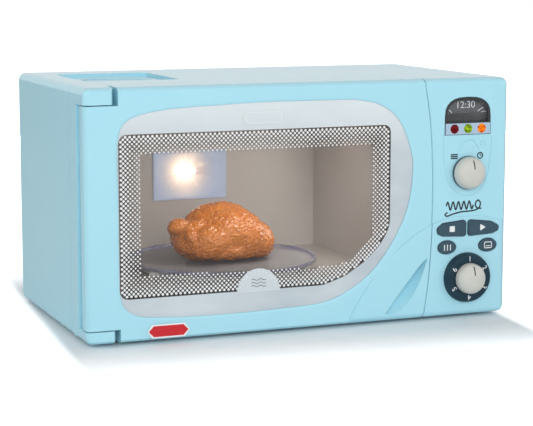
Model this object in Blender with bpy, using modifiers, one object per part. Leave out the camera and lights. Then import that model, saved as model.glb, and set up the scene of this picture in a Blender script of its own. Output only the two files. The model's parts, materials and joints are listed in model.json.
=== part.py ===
"""Toy microwave oven: case, hinged door, lit cavity with a turning plate, and a control panel.

Lengths are metres. The origin is at the middle of the base, on the standing surface.
X runs to the right, Y to the back and Z up. The door and the panel face -Y.
"""

import math

import bmesh
import bpy
from mathutils import Matrix, Vector

# Gaps and cutting
REST_GAP = 0.0003
SHAFT_GAP = 0.00015
DOOR_GAP = 0.0007
OVERRUN = 0.001

# Case
CASE_WIDTH = 0.3202
CASE_DEPTH = 0.185
CASE_HEIGHT = 0.174
CASE_EDGE = 0.005
SHELL_WALL = 0.0022
MOULDING_DEPTH = 0.038
BASE_WALL = 0.0022
CORNER_BOSS = 0.014
CORNER_BOSS_HEIGHT = 0.014
POCKET_DEPTH = 0.0035

# Feet and case screws
FOOT_HEIGHT = 0.0025
FOOT_RADIUS = 0.007
FOOT_STEM_RADIUS = 0.0025
SCREW_HEAD_RADIUS = 0.003
SCREW_HEAD_HEIGHT = 0.0012
SCREW_RADIUS = 0.0014
SCREW_LENGTH = 0.010

# Door
DOOR_THICK = 0.020
DOOR_WALL = 0.003
LUG_WIDTH = 0.0208
TOP_LUG_HEIGHT = 0.0115
BOTTOM_LUG_HEIGHT = 0.009
LUG_CORNER = 0.004
LUG_CLEARANCE = 0.0008
HINGE_POST_WIDTH = 0.0181
PIN_RADIUS = 0.002
PIN_LENGTH = 0.018
WINDOW_THICK = 0.0016
WINDOW_SET = 0.0018
LIP_WIDTH = 0.0019
LIP_DEPTH = 0.001
WINDOW_LAP = 0.003
WINDOW_CLEAR = 0.0055
INNER_FRAME_THICK = 0.0025
SCOOP_DEPTH = 0.0095
SCOOP_WALL = 0.002
SCOOP_PAD_RISE = 0.0075
CATCH_WIDTH = 0.004
CATCH_HEIGHT = 0.012
CATCH_REACH = 0.009
CATCH_ROOM = 0.0012
WAVE_STEP = 0.0008

# Oven cavity
CAVITY_LEFT = 0.0166
CAVITY_FLOOR = 0.0302
CAVITY_HEADROOM = 0.024
CAVITY_BACK = 0.016
LINER_WALL = 0.0018
LINER_FLANGE = 0.006
FRAME_WALL = 0.0022

# Lamp
LAMP_WIDTH = 0.060
LAMP_HEIGHT = 0.038
LAMP_COVER_THICK = 0.0012
LAMP_HOUSING_WALL = 0.0012
BULB_RADIUS = 0.0042
BULB_BASE_RADIUS = 0.0032
BULB_BASE_LENGTH = 0.010

# Turntable
PLATE_CLEARANCE = 0.0015
PLATE_THICK = 0.0014
PLATE_RIM_HEIGHT = 0.0032
PLATE_RIM_WALL = 0.0018
PLATE_HUB_RADIUS = 0.015
ROLLER_RADIUS = 0.0023
ROLLER_LENGTH = 0.0064
ROLLER_SETBACK = 0.003
RING_WIDTH = 0.0035
RING_THICK = 0.0026
ROLLER_AXLE_RADIUS = 0.0008
COUPLER_RADIUS = 0.0095

# Gearbox
GEARBOX_WALL = 0.0016
GEAR_MODULE = 0.0008
PINION_TEETH = 12
WHEEL_TEETH = 36
GEAR_AXLE_RADIUS = 0.0015
OUTPUT_SHAFT_RADIUS = 0.004
MOTOR_RADIUS = 0.011
MOTOR_SHAFT_RADIUS = 0.001

# Control panel
PANEL_WALL = 0.0034
DISPLAY_WIDTH = 0.0376
DISPLAY_SPRING = 0.0131
DISPLAY_RISE = 0.0145
DISPLAY_LEDGE = 0.0016
BEZEL_THICK = 0.0012
BEZEL_RIM = 0.0022
GEM_RADIUS = 0.0032
GEM_HEIGHT = 0.0016
COUNTDOWN_RADIUS = 0.0238
COUNTDOWN_DISC_THICK = 0.0015
COUNTDOWN_TEETH = 40
TIMER_TEETH = 20
PANEL_GEAR_WIDTH = 0.003
TIMER_KNOB_RADIUS = 0.0118
TIMER_KNOB_HEIGHT = 0.0118
TIMER_STEM_RADIUS = 0.003
DIAL_RADIUS = 0.0184
DIAL_FACE_RADIUS = 0.0145
DIAL_HEIGHT = 0.0055
DIAL_STEM_RADIUS = 0.004
CAP_RADIUS = 0.0113
CAP_HEIGHT = 0.0088
DETENT_RADIUS = 0.009
DETENT_NOTCH_RADIUS = 0.0012
DETENT_NOTCHES = 12
LEAF_THICK = 0.0006
BUTTON_WIDTH = 0.025
BUTTON_HEIGHT = 0.012
OVAL_WIDTH = 0.0146
OVAL_HEIGHT = 0.0098
BUTTON_PROUD = 0.0012
BUTTON_FLANGE = 0.0004
BUTTON_FLANGE_THICK = 0.0012
BUTTON_STEM_RADIUS = 0.0022
BUTTON_STEM_LENGTH = 0.0042
DOME_HEIGHT = 0.002
KEYPAD_THICK = 0.001
BOARD_THICK = 0.0016
CHASSIS_THICK = 0.002
CHASSIS_POST_RADIUS = 0.0025
AXLE_POST_RADIUS = 0.0025

# Speaker and batteries
SPEAKER_RADIUS = 0.018
SPEAKER_DEPTH = 0.010
SLOT_HEIGHT = 0.0025
SLOT_PITCH = 0.006
CELL_RADIUS = 0.0071
CELL_LENGTH = 0.0503
CELL_NIPPLE = 0.001
CELL_ROOM = 0.0004
BATTERY_WALL = 0.0016

# Play food
CHICKEN_LENGTH = 0.086
CHICKEN_WIDTH = 0.060
CHICKEN_HEIGHT = 0.043

# Places on the front, as shares of the case's width and height
SEAM_SHARES = [(0.7896, 0.0), (0.8015, 0.15), (0.8104, 0.40), (0.8109, 0.60), (0.8039, 0.82), (0.7881, 1.0)]
WAVE_SHARES = [
    (0.599, 0.0), (0.6366, 0.118), (0.7, 0.256), (0.7515, 0.336), (0.8079, 0.394),
    (0.8485, 0.417), (0.895, 0.422), (0.9415, 0.417), (1.0, 0.394),
]
WINDOW_SHARES = [
    (0.0737, 0.333), (0.0737, 0.560), (0.0737, 0.791), (0.0872, 0.860), (0.1396, 0.899),
    (0.3178, 0.922), (0.503, 0.927), (0.6653, 0.911), (0.7237, 0.843), (0.7564, 0.710),
    (0.7624, 0.628), (0.7485, 0.465), (0.7079, 0.317), (0.6535, 0.200), (0.5921, 0.130),
    (0.5426, 0.100), (0.4564, 0.090), (0.3168, 0.084), (0.1842, 0.089), (0.108, 0.107),
    (0.0792, 0.156),
]
SCOOP_LEFT_SHARES = [(0.6921, 0.030), (0.7178, 0.092), (0.7525, 0.170), (0.7826, 0.233), (0.799, 0.258)]
SCOOP_RIGHT_SHARES = [(0.6921, 0.030), (0.7237, 0.027), (0.7544, 0.075), (0.7812, 0.160), (0.799, 0.258)]
SCOOP_SECTION_SHARES = [(0.0, 0.0), (0.2, 1.0), (0.6, 0.72), (1.0, 0.0)]
LIP_SPREAD_SHARE = 1.1
CAVITY_RIGHT_SHARE = 0.7435
CONTROL_SHARE = 0.897
DISPLAY_SHARE = 0.764
COUNTDOWN_SHARE = 0.785
TIMER_SHARE = 0.606
DIAL_SHARE = 0.163
BUTTON_SHARE = 0.338
OVAL_SHARES = [(0.8465, 0.295), (0.9509, 0.295)]
STOP_SHARES = [(0.035, 0.0), (0.79, 0.08), (0.955, 0.23), (0.975, 0.57), (0.79, 0.85), (0.035, 1.0)]
START_SHARES = [(0.035, 0.0), (0.84, 0.09), (1.03, 0.25), (1.05, 0.54), (0.81, 0.81), (0.035, 1.0)]
POST_SHARES = [(0.8386, 0.085), (0.9574, 0.085), (0.8386, 0.470), (0.9574, 0.470)]
CATCH_SHARE = 0.52
LAMP_SHARES = (0.4129, 0.526)
POCKET_SHARES = [(0.0624, 0.355), (0.2812, 0.355), (0.2812, 0.80), (0.0624, 0.80)]
TURNTABLE_SHARE = 0.4109
FRONT_FOOT_SHARES = [(0.0792, 0.155), (0.9208, 0.155)]
BACK_FOOT_SHARES = [(0.1386, 0.90), (0.8614, 0.90)]
SPEAKER_SHARES = (0.896, 0.72)
BATTERY_SHARES = (0.8643, 0.25)
VENT_SHARES = (0.302, 0.62)

# Gear teeth, as shares of their module and of their own width
TIP_SHARE = 0.85
ROOT_SHARE = 1.15
TOOTH_SHARE = 0.92
ROOT_FLARE_SHARE = 1.35
LOBE_SHARE = 0.2

# Body of the roast: along its length, half width, underside and top, as shares of its own sizes
ROAST_SHARES = [
    (0.03, 0.14, 0.30, 0.60), (0.09, 0.30, 0.16, 0.72), (0.18, 0.41, 0.06, 0.80), (0.30, 0.48, 0.01, 0.91),
    (0.44, 0.50, 0.0, 0.99), (0.58, 0.49, 0.0, 1.0), (0.70, 0.45, 0.01, 0.88), (0.82, 0.37, 0.05, 0.70),
    (0.92, 0.25, 0.14, 0.55), (0.98, 0.11, 0.25, 0.43),
]

# Counts
ROUND_STEPS = 32
FINE_STEPS = 48
BORE_STEPS = 16
SMALL_STEPS = 12
CURVE_STEPS = 4
WINDOW_STEPS = 3
CORNER_STEPS = 5
EDGE_STEPS = 3
ARCH_STEPS = 12
ARCH_POWER = 0.77
ROLLERS = 3
ROLLER_START = math.radians(82.0)
VENT_SLOTS = 6
SPEAKER_SLOTS = 5
ROAST_STEPS = 16
LOBE_STEPS = 36
DETENT_STEPS = 4
PRESSURE_ANGLE = math.radians(20.0)

# Colours, roughness and metallic value of each finish
FINISHES = {
    "sky_blue": ((0.40, 0.72, 0.83), 0.35, 0.0),
    "cream": ((0.68, 0.66, 0.62), 0.40, 0.0),
    "slate": ((0.047, 0.089, 0.136), 0.40, 0.0),
    "grey": ((0.38, 0.35, 0.33), 0.45, 0.0),
    "white": ((0.80, 0.80, 0.78), 0.45, 0.0),
    "dark": ((0.03, 0.03, 0.035), 0.40, 0.0),
    "silver": ((0.55, 0.60, 0.66), 0.30, 0.6),
    "steel": ((0.55, 0.55, 0.56), 0.30, 1.0),
    "clear": ((0.85, 0.88, 0.92), 0.08, 0.0),
    "rubber": ((0.05, 0.05, 0.05), 0.80, 0.0),
    "red": ((0.55, 0.02, 0.02), 0.15, 0.0),
    "green": ((0.40, 0.60, 0.04), 0.15, 0.0),
    "orange": ((0.85, 0.22, 0.01), 0.15, 0.0),
    "board": ((0.02, 0.20, 0.07), 0.50, 0.0),
    "cell": ((0.45, 0.28, 0.05), 0.35, 0.5),
    "roast": ((0.58, 0.14, 0.02), 0.25, 0.0),
}

# Planes of the case
LEFT = -CASE_WIDTH / 2
RIGHT = CASE_WIDTH / 2
FRONT = -CASE_DEPTH / 2
BACK = CASE_DEPTH / 2
BOTTOM = FOOT_HEIGHT
TOP = FOOT_HEIGHT + CASE_HEIGHT
SEAM = FRONT + MOULDING_DEPTH
BASE_TOP = BOTTOM + BASE_WALL
FRAME_FRONT = FRONT + DOOR_THICK + REST_GAP
FRAME_BACK = FRAME_FRONT + FRAME_WALL


def clear_scene():
    for obj in list(bpy.data.objects):
        bpy.data.objects.remove(obj, do_unlink=True)


clear_scene()
MODEL = bpy.data.collections.new("toy_microwave")
CUTTERS = bpy.data.collections.new("cutters")
bpy.context.scene.collection.children.link(MODEL)
bpy.context.scene.collection.children.link(CUTTERS)


def at_width(share):
    return LEFT + share * CASE_WIDTH


def at_depth(share):
    return FRONT + share * CASE_DEPTH


def at_height(share):
    return BOTTOM + share * CASE_HEIGHT


def on_front(shares):
    return [(at_width(across), at_height(up)) for across, up in shares]


def material_for(name, finish):
    colour, roughness, metallic = FINISHES[finish]
    material = bpy.data.materials.new(name)
    material.use_nodes = True
    shader = material.node_tree.nodes["Principled BSDF"]
    shader.inputs["Base Color"].default_value = (*colour, 1.0)
    shader.inputs["Roughness"].default_value = roughness
    shader.inputs["Metallic"].default_value = metallic
    return material


def add_object(name, mesh, finish):
    """A finish makes the object a piece of the model, and without one it is a cutter."""
    obj = bpy.data.objects.new(name, mesh)
    if finish is None:
        CUTTERS.objects.link(obj)
        obj.hide_render = True
        obj.display_type = "WIRE"
        return obj
    MODEL.objects.link(obj)
    mesh.materials.append(material_for(name, finish))
    mesh.shade_smooth()
    mesh.set_sharp_from_angle(angle=math.radians(35.0))
    return obj


def mesh_object(name, shape, finish):
    mesh = bpy.data.meshes.new(name)
    shape.to_mesh(mesh)
    shape.free()
    return add_object(name, mesh, finish)


AXIS_TURNS = {
    "X": Matrix(((0, 0, 1), (1, 0, 0), (0, 1, 0))).to_4x4(),
    "Y": Matrix(((1, 0, 0), (0, 0, 1), (0, -1, 0))).to_4x4(),
    "Z": Matrix.Identity(4),
}
OUTLINE_TURNS = {
    "X": Matrix(((0, 0, 1), (1, 0, 0), (0, 1, 0))).to_4x4(),
    "Y": Matrix(((1, 0, 0), (0, 0, -1), (0, 1, 0))).to_4x4(),
    "Z": Matrix.Identity(4),
}


def middle_of(centre, along, axis):
    """Point with a centre given in the plane across the axis."""
    first, second = centre
    return {
        "X": Vector((along, first, second)),
        "Y": Vector((first, along, second)),
        "Z": Vector((first, second, along)),
    }[axis]


def box(name, low, high, finish=None):
    shape = bmesh.new()
    bmesh.ops.create_cube(shape, size=1.0)
    low = Vector(low)
    high = Vector(high)
    size = high - low
    bmesh.ops.scale(shape, verts=shape.verts, vec=size)
    bmesh.ops.translate(shape, verts=shape.verts, vec=(low + high) / 2)
    return mesh_object(name, shape, finish)


def rod(name, centre, radius, start, end, axis="Z", finish=None, steps=ROUND_STEPS, end_radius=None):
    """Cylinder or cone along an axis, with its radius at the start and at the end."""
    shape = bmesh.new()
    far_radius = radius if end_radius is None else end_radius
    bmesh.ops.create_cone(
        shape, cap_ends=True, segments=steps, radius1=radius, radius2=far_radius, depth=end - start
    )
    bmesh.ops.transform(shape, matrix=AXIS_TURNS[axis], verts=shape.verts)
    bmesh.ops.translate(shape, verts=shape.verts, vec=middle_of(centre, (start + end) / 2, axis))
    return mesh_object(name, shape, finish)


def ball(name, centre, size, finish=None, steps=SMALL_STEPS):
    """Ellipsoid with a half size along each axis."""
    shape = bmesh.new()
    bmesh.ops.create_uvsphere(shape, u_segments=steps, v_segments=steps // 2 + 2, radius=1.0)
    bmesh.ops.scale(shape, verts=shape.verts, vec=Vector(size))
    bmesh.ops.translate(shape, verts=shape.verts, vec=Vector(centre))
    return mesh_object(name, shape, finish)


def plate(name, outlines, start, end, axis="Y", finish=None):
    """Flat piece between two places on an axis. Outlines inside the first one are holes."""
    curve = bpy.data.curves.new(name, "CURVE")
    curve.dimensions = "2D"
    curve.fill_mode = "BOTH"
    curve.extrude = (end - start) / 2
    for outline in outlines:
        spline = curve.splines.new("POLY")
        spline.points.add(len(outline) - 1)
        for point, (first, second) in zip(spline.points, outline):
            point.co = (first, second, 0.0, 1.0)
        spline.use_cyclic_u = True
    flat = bpy.data.objects.new(name + "_curve", curve)
    bpy.context.scene.collection.objects.link(flat)
    graph = bpy.context.evaluated_depsgraph_get()
    mesh = bpy.data.meshes.new_from_object(flat.evaluated_get(graph))
    bpy.data.objects.remove(flat)
    bpy.data.curves.remove(curve)
    shape = bmesh.new()
    shape.from_mesh(mesh)
    bpy.data.meshes.remove(mesh)
    bmesh.ops.remove_doubles(shape, verts=shape.verts, dist=OVERRUN / 1000)
    bmesh.ops.recalc_face_normals(shape, faces=shape.faces)
    bmesh.ops.transform(shape, matrix=OUTLINE_TURNS[axis], verts=shape.verts)
    middle = middle_of((0.0, 0.0), (start + end) / 2, axis)
    bmesh.ops.translate(shape, verts=shape.verts, vec=middle)
    return mesh_object(name, shape, finish)


def turned(name, profile, centre, finish=None, steps=ROUND_STEPS, facing=math.pi / 2):
    """Round piece that faces the front, or up. The profile gives radius and height, top to bottom."""
    shape = bmesh.new()
    points = [shape.verts.new((radius, 0.0, height)) for radius, height in profile]
    for first, second in zip(points, points[1:]):
        shape.edges.new((first, second))
    obj = mesh_object(name, shape, finish)
    spin = obj.modifiers.new("turn", "SCREW")
    spin.steps = steps
    spin.render_steps = steps
    spin.use_merge_vertices = True
    spin.merge_threshold = OVERRUN / 100
    spin.use_smooth_shade = True
    obj.location = centre
    obj.rotation_euler = (facing, 0.0, 0.0)
    return obj


def combine(obj, others, operation):
    for other in others:
        change = obj.modifiers.new(other.name, "BOOLEAN")
        change.operation = operation
        change.solver = "EXACT"
        change.object = other
    return obj


def cut(obj, *others):
    return combine(obj, others, "DIFFERENCE")


def join(obj, *others):
    return combine(obj, others, "UNION")


def trim(obj, *others):
    return combine(obj, others, "INTERSECT")


def soften(obj, width, steps=2):
    bevel = obj.modifiers.new("soften", "BEVEL")
    bevel.width = width
    bevel.segments = steps
    bevel.limit_method = "ANGLE"
    bevel.angle_limit = math.radians(40.0)
    return obj


def put_origin(obj, point):
    """Moves the object's origin to a point of its joint's axis and leaves the shape where it is."""
    obj.data.transform(Matrix.Translation(-Vector(point)))
    obj.location = point
    return obj


def smooth(points, closed=False, steps=CURVE_STEPS):
    """Centripetal Catmull-Rom curve through the points."""
    if closed:
        knots = [points[-1]] + list(points) + [points[0], points[1]]
    else:
        knots = [extend(points[1], points[0])] + list(points) + [extend(points[-2], points[-1])]
    curve = []
    for before, start, end, after in zip(knots, knots[1:], knots[2:], knots[3:]):
        for step in range(steps):
            curve.append(between(before, start, end, after, step / steps))
    if not closed:
        curve.append(points[-1])
    return curve


def extend(inner, outer):
    return (2 * outer[0] - inner[0], 2 * outer[1] - inner[1])


def between(before, start, end, after, share):
    points = [Vector(point) for point in (before, start, end, after)]
    times = [0.0]
    for first, second in zip(points, points[1:]):
        times.append(times[-1] + math.sqrt((second - first).length))
    time = times[1] + share * (times[2] - times[1])

    def mix(first, second, start_time, end_time):
        part = (time - start_time) / (end_time - start_time)
        return first.lerp(second, part) if 0 <= part <= 1 else first + part * (second - first)

    lines = [mix(points[i], points[i + 1], times[i], times[i + 1]) for i in range(3)]
    bends = [mix(lines[i], lines[i + 1], times[i], times[i + 2]) for i in range(2)]
    return tuple(mix(bends[0], bends[1], times[1], times[2]))


def area_of(outline):
    pairs = zip(outline, outline[1:] + outline[:1])
    return sum(first[0] * second[1] - second[0] * first[1] for first, second in pairs) / 2


def grown(outline, distance):
    """Outline moved outwards by a distance, or inwards where it is negative."""
    outline = list(outline)
    side = 1 if area_of(outline) > 0 else -1
    moved = []
    for index, point in enumerate(outline):
        before = Vector(outline[index - 1])
        here = Vector(point)
        after = Vector(outline[(index + 1) % len(outline)])
        coming = (here - before).normalized()
        going = (after - here).normalized()
        out_coming = Vector((coming.y, -coming.x)) * side
        out_going = Vector((going.y, -going.x)) * side
        middle = out_coming + out_going
        reach = 2 * distance / max(middle.length_squared, 1)
        moved.append(tuple(here + middle * reach))
    return moved


def rounded(corners, radius, steps=CORNER_STEPS):
    """Outline with each corner replaced by an arc."""
    outline = []
    for index, corner in enumerate(corners):
        here = Vector(corner)
        back = (Vector(corners[index - 1]) - here).normalized()
        onward = (Vector(corners[(index + 1) % len(corners)]) - here).normalized()
        half = math.acos(max(-1, min(1, back.dot(onward)))) / 2
        centre = here + (back + onward).normalized() * radius / math.sin(half)
        start = here + back * radius / math.tan(half)
        end = here + onward * radius / math.tan(half)
        first = (start - centre).normalized()
        last = (end - centre).normalized()
        for step in range(steps + 1):
            way = first.slerp(last, step / steps)
            outline.append(tuple(centre + way * radius))
    return outline


def rectangle(left, right, low, high):
    return [(left, low), (right, low), (right, high), (left, high)]


def ring_points(centre, radius, steps=ROUND_STEPS, start=0.0):
    """Circle, or ellipse where the radius is a pair."""
    wide, high = radius if isinstance(radius, tuple) else (radius, radius)
    turns = [start + 2 * math.pi * step / steps for step in range(steps)]
    return [(centre[0] + wide * math.cos(turn), centre[1] + high * math.sin(turn)) for turn in turns]


def gear_outline(centre, teeth, module, tooth_at):
    """Involute teeth, with a tooth pointing along the angle tooth_at."""
    pitch = teeth * module / 2
    base = pitch * math.cos(PRESSURE_ANGLE)
    tip = pitch + TIP_SHARE * module
    root = pitch - ROOT_SHARE * module

    def involute(angle):
        return math.tan(angle) - angle

    def half_tooth(radius):
        flank = involute(math.acos(min(1, base / max(radius, base))))
        return TOOTH_SHARE * math.pi / (2 * teeth) + involute(PRESSURE_ANGLE) - flank

    outline = []
    for tooth in range(teeth):
        middle = tooth_at + 2 * math.pi * tooth / teeth
        width = half_tooth(pitch)
        flank = [(root, ROOT_FLARE_SHARE * width), (pitch, width), (tip, half_tooth(tip))]
        for radius, half in flank:
            outline.append((radius, middle - half))
        for radius, half in reversed(flank):
            outline.append((radius, middle + half))
    return [(centre[0] + r * math.cos(a), centre[1] + r * math.sin(a)) for r, a in outline]


def seam_line():
    return smooth(on_front(SEAM_SHARES))


def door_outline(gap):
    """Outline of the door from the front, drawn in from the case by a gap at the lugs and the seam."""
    seam = [(across - gap, up) for across, up in seam_line()]
    first = (seam[0][0], BOTTOM)
    last = (seam[-1][0], TOP + OVERRUN)
    low = BOTTOM + BOTTOM_LUG_HEIGHT + gap
    high = TOP - TOP_LUG_HEIGHT - gap
    return (
        [(LEFT - OVERRUN, low), (NOTCH_EDGE, low), (NOTCH_EDGE, BOTTOM), first]
        + seam[1:-1]
        + [last, (NOTCH_EDGE, TOP + OVERRUN), (NOTCH_EDGE, high), (LEFT - OVERRUN, high)]
    )


def case_block(name, finish, low, high):
    """Part of the rounded case that lies inside a box."""
    block = box(name, (LEFT, FRONT, BOTTOM), (RIGHT, BACK, TOP), finish)
    soften(block, CASE_EDGE, EDGE_STEPS)
    return trim(block, box(name + "_extent", low, high))


def window_outline():
    """The left side keeps clear of the hinge post, and the rest follows the case's width."""
    left = LEFT + HINGE_POST_WIDTH + WINDOW_CLEAR
    least = min(across for across, _ in WINDOW_SHARES)
    most = max(across for across, _ in WINDOW_SHARES)
    width = at_width(most) - left
    points = []
    for across, up in WINDOW_SHARES:
        points.append((left + (across - least) / (most - least) * width, at_height(up)))
    return smooth(points, closed=True, steps=WINDOW_STEPS)


def display_outline(inset=0.0):
    """Arch of the display: straight sides and a rounded top."""
    centre = at_width(CONTROL_SHARE)
    base = at_height(DISPLAY_SHARE)
    half = DISPLAY_WIDTH / 2
    spring = base + DISPLAY_SPRING
    arch = []
    for step in range(ARCH_STEPS + 1):
        turn = math.pi * step / ARCH_STEPS
        across = math.copysign(abs(math.cos(turn)) ** ARCH_POWER, math.cos(turn))
        arch.append((centre + half * across, spring + DISPLAY_RISE * math.sin(turn) ** ARCH_POWER))
    outline = [(centre - half, base), (centre + half, base)] + arch
    return grown(outline, -inset) if inset else outline


def button_outlines():
    """Outline of each button by its name."""
    middle = at_width(CONTROL_SHARE)
    low = at_height(BUTTON_SHARE)
    left = [(middle - u * BUTTON_WIDTH, low + v * BUTTON_HEIGHT) for u, v in reversed(STOP_SHARES)]
    right = [(middle + u * BUTTON_WIDTH, low + v * BUTTON_HEIGHT) for u, v in START_SHARES]
    corner = BUTTON_HEIGHT / 6
    grill, oven = on_front(OVAL_SHARES)
    oval = (OVAL_WIDTH / 2, OVAL_HEIGHT / 2)
    return {
        "stop_button": rounded(left, corner, 3),
        "start_button": rounded(right, corner, 3),
        "grill_button": ring_points(grill, oval, 20),
        "oven_button": ring_points(oven, oval, 20),
    }


def middle_of_outline(outline):
    xs = [point[0] for point in outline]
    zs = [point[1] for point in outline]
    return ((min(xs) + max(xs)) / 2, (min(zs) + max(zs)) / 2)


# Places that several pieces share
PIVOT = (LEFT + DOOR_THICK / 2, FRONT + DOOR_THICK / 2)
LUG_REACH = LUG_CORNER + math.hypot(
    LUG_WIDTH - DOOR_THICK / 2 - LUG_CORNER, DOOR_THICK / 2 - LUG_CORNER
)
NOTCH_EDGE = PIVOT[0] + LUG_REACH + LUG_CLEARANCE
SEAM_RIGHT = max(point[0] for point in seam_line())
CAVITY = {
    "left": LEFT + CAVITY_LEFT,
    "right": at_width(CAVITY_RIGHT_SHARE),
    "front": FRAME_BACK + REST_GAP,
    "back": BACK - CAVITY_BACK,
    "low": BOTTOM + CAVITY_FLOOR,
    "high": TOP - CAVITY_HEADROOM,
}
TURNTABLE = (at_width(TURNTABLE_SHARE), (CAVITY["front"] + CAVITY["back"]) / 2)
PLATE_RADIUS = min(
    (CAVITY["back"] - CAVITY["front"]) / 2,
    TURNTABLE[0] - CAVITY["left"],
    CAVITY["right"] - TURNTABLE[0],
) - PLATE_CLEARANCE
PLATE_BOTTOM = CAVITY["low"] + 2 * ROLLER_RADIUS + 2 * REST_GAP
FLOOR_UNDERSIDE = CAVITY["low"] - LINER_WALL
STEPPED_FACE = FRONT + WAVE_STEP
PANEL_BACK = FRONT + PANEL_WALL
FLANGE_BACK = PANEL_BACK + REST_GAP + BUTTON_FLANGE_THICK
STEM_END = FLANGE_BACK + BUTTON_STEM_LENGTH
KEYPAD_FRONT = STEM_END + REST_GAP + DOME_HEIGHT
BOARD_FRONT = KEYPAD_FRONT + KEYPAD_THICK + REST_GAP
CHASSIS_FRONT = BOARD_FRONT + BOARD_THICK + REST_GAP
TIMER = (at_width(CONTROL_SHARE), at_height(TIMER_SHARE))
COUNTDOWN = (at_width(CONTROL_SHARE), at_height(COUNTDOWN_SHARE))
DIAL = (at_width(CONTROL_SHARE), at_height(DIAL_SHARE))
GEAR_FRONT = PANEL_BACK + 2 * COUNTDOWN_DISC_THICK + REST_GAP
GEAR_BACK = GEAR_FRONT + PANEL_GEAR_WIDTH
BEZEL_FRONT = STEPPED_FACE + REST_GAP
BEZEL_BACK = BEZEL_FRONT + BEZEL_THICK


def front_screws():
    inset = SHELL_WALL + CORNER_BOSS / 2
    return [(LEFT + inset, SEAM + CORNER_BOSS / 2), (RIGHT - inset, SEAM + CORNER_BOSS / 2)]


def back_screws():
    inset = SHELL_WALL + CORNER_BOSS / 2
    return [(LEFT + inset, BACK - inset), (RIGHT - inset, BACK - inset)]


def wave_cutter():
    """Everything in front of the stepped face, above and left of the wave."""
    wave = smooth(on_front(WAVE_SHARES))
    start = (wave[0][0], BOTTOM - OVERRUN)
    end = (RIGHT + OVERRUN, wave[-1][1])
    around = rectangle(LEFT - OVERRUN, RIGHT + OVERRUN, BOTTOM - OVERRUN, TOP + OVERRUN)
    around = [around[2], around[3], around[0]]
    outline = [start] + wave[1:-1] + [end] + around
    return plate("wave_step", [outline], FRONT - OVERRUN, STEPPED_FACE)


def lug(name, low, high):
    """Block that holds a hinge pin, with its front right edge rounded."""
    right = LEFT + LUG_WIDTH
    outline = [(LEFT - OVERRUN, FRONT - OVERRUN), (right - LUG_CORNER, FRONT - OVERRUN)]
    outline += arc_points((right - LUG_CORNER, FRONT + LUG_CORNER), LUG_CORNER, -90, 0)
    outline += [(right, FRAME_BACK), (LEFT - OVERRUN, FRAME_BACK)]
    return plate(name, [outline], low, high, "Z")


def arc_points(centre, radius, start, end, steps=6):
    turns = [math.radians(start + (end - start) * step / steps) for step in range(steps + 1)]
    return [(centre[0] + radius * math.cos(turn), centre[1] + radius * math.sin(turn)) for turn in turns]


def front_moulding():
    low = (LEFT - OVERRUN, FRONT - OVERRUN, BOTTOM - OVERRUN)
    high = (RIGHT + OVERRUN, SEAM, TOP + OVERRUN)
    moulding = case_block("front_moulding", "sky_blue", low, high)
    seam = seam_line()
    beside_door = [(LEFT - OVERRUN, BOTTOM - OVERRUN), (seam[0][0], BOTTOM - OVERRUN)] + seam[1:-1]
    beside_door += [(seam[-1][0], TOP + OVERRUN), (LEFT - OVERRUN, TOP + OVERRUN)]
    door_space = plate("door_space", [beside_door], FRONT - OVERRUN / 2, FRAME_FRONT)
    cut(
        door_space,
        lug("top_lug", TOP - TOP_LUG_HEIGHT, TOP + 2 * OVERRUN),
        lug("bottom_lug", BOTTOM - 2 * OVERRUN, BOTTOM + BOTTOM_LUG_HEIGHT),
    )
    panel_hollow = box(
        "panel_hollow",
        (SEAM_RIGHT + SHELL_WALL, PANEL_BACK, BOTTOM + SHELL_WALL),
        (RIGHT - SHELL_WALL, SEAM + OVERRUN, TOP - SHELL_WALL),
    )
    frame_hollow = box(
        "frame_hollow",
        (LEFT + SHELL_WALL, FRAME_BACK, BOTTOM + SHELL_WALL),
        (SEAM_RIGHT + 2 * SHELL_WALL, SEAM + OVERRUN, TOP - SHELL_WALL),
    )
    mouth = box(
        "oven_mouth",
        (CAVITY["left"], FRONT, CAVITY["low"]),
        (CAVITY["right"], SEAM, CAVITY["high"]),
    )
    cut(moulding, door_space, panel_hollow, frame_hollow, mouth, WAVE, catch_slot())
    cut(moulding, *panel_openings())
    join(moulding, *chassis_posts())
    for name, x, y in (("left", *front_screws()[0]), ("right", *front_screws()[1])):
        join(moulding, *front_boss(name, x))
        cut(moulding, screw_bore(name + "_front_pilot", x, y))
    for name, low, high in pin_spans():
        cut(moulding, pin_bore(name + "_lug_bore", low, high))
    for number, (x, y) in enumerate(foot_places()[:2]):
        cut(moulding, foot_bore("front_foot_bore_%d" % number, x, y))
    corner = (LEFT + LUG_WIDTH, BOTTOM)
    outside = arc_points((corner[0] - LUG_CORNER, corner[1] + LUG_CORNER), LUG_CORNER, -90, 0)
    outside += [(corner[0] + OVERRUN, outside[-1][1]), (corner[0] + OVERRUN, corner[1] - OVERRUN)]
    outside.append((outside[0][0], corner[1] - OVERRUN))
    cut(moulding, plate("lug_corner", [outside], FRONT - OVERRUN, FRAME_FRONT))


def catch_place():
    across = SEAM_RIGHT - DOOR_GAP - DOOR_WALL - 1.5 * CATCH_WIDTH
    return across, at_height(CATCH_SHARE)


def catch_slot():
    across, up = catch_place()
    half_width = CATCH_WIDTH / 2 + CATCH_ROOM
    half_height = CATCH_HEIGHT / 2 + CATCH_ROOM
    return box(
        "catch_slot",
        (across - half_width, FRONT + DOOR_THICK - OVERRUN, up - half_height),
        (across + half_width, FRAME_BACK + OVERRUN, up + half_height),
    )


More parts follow.
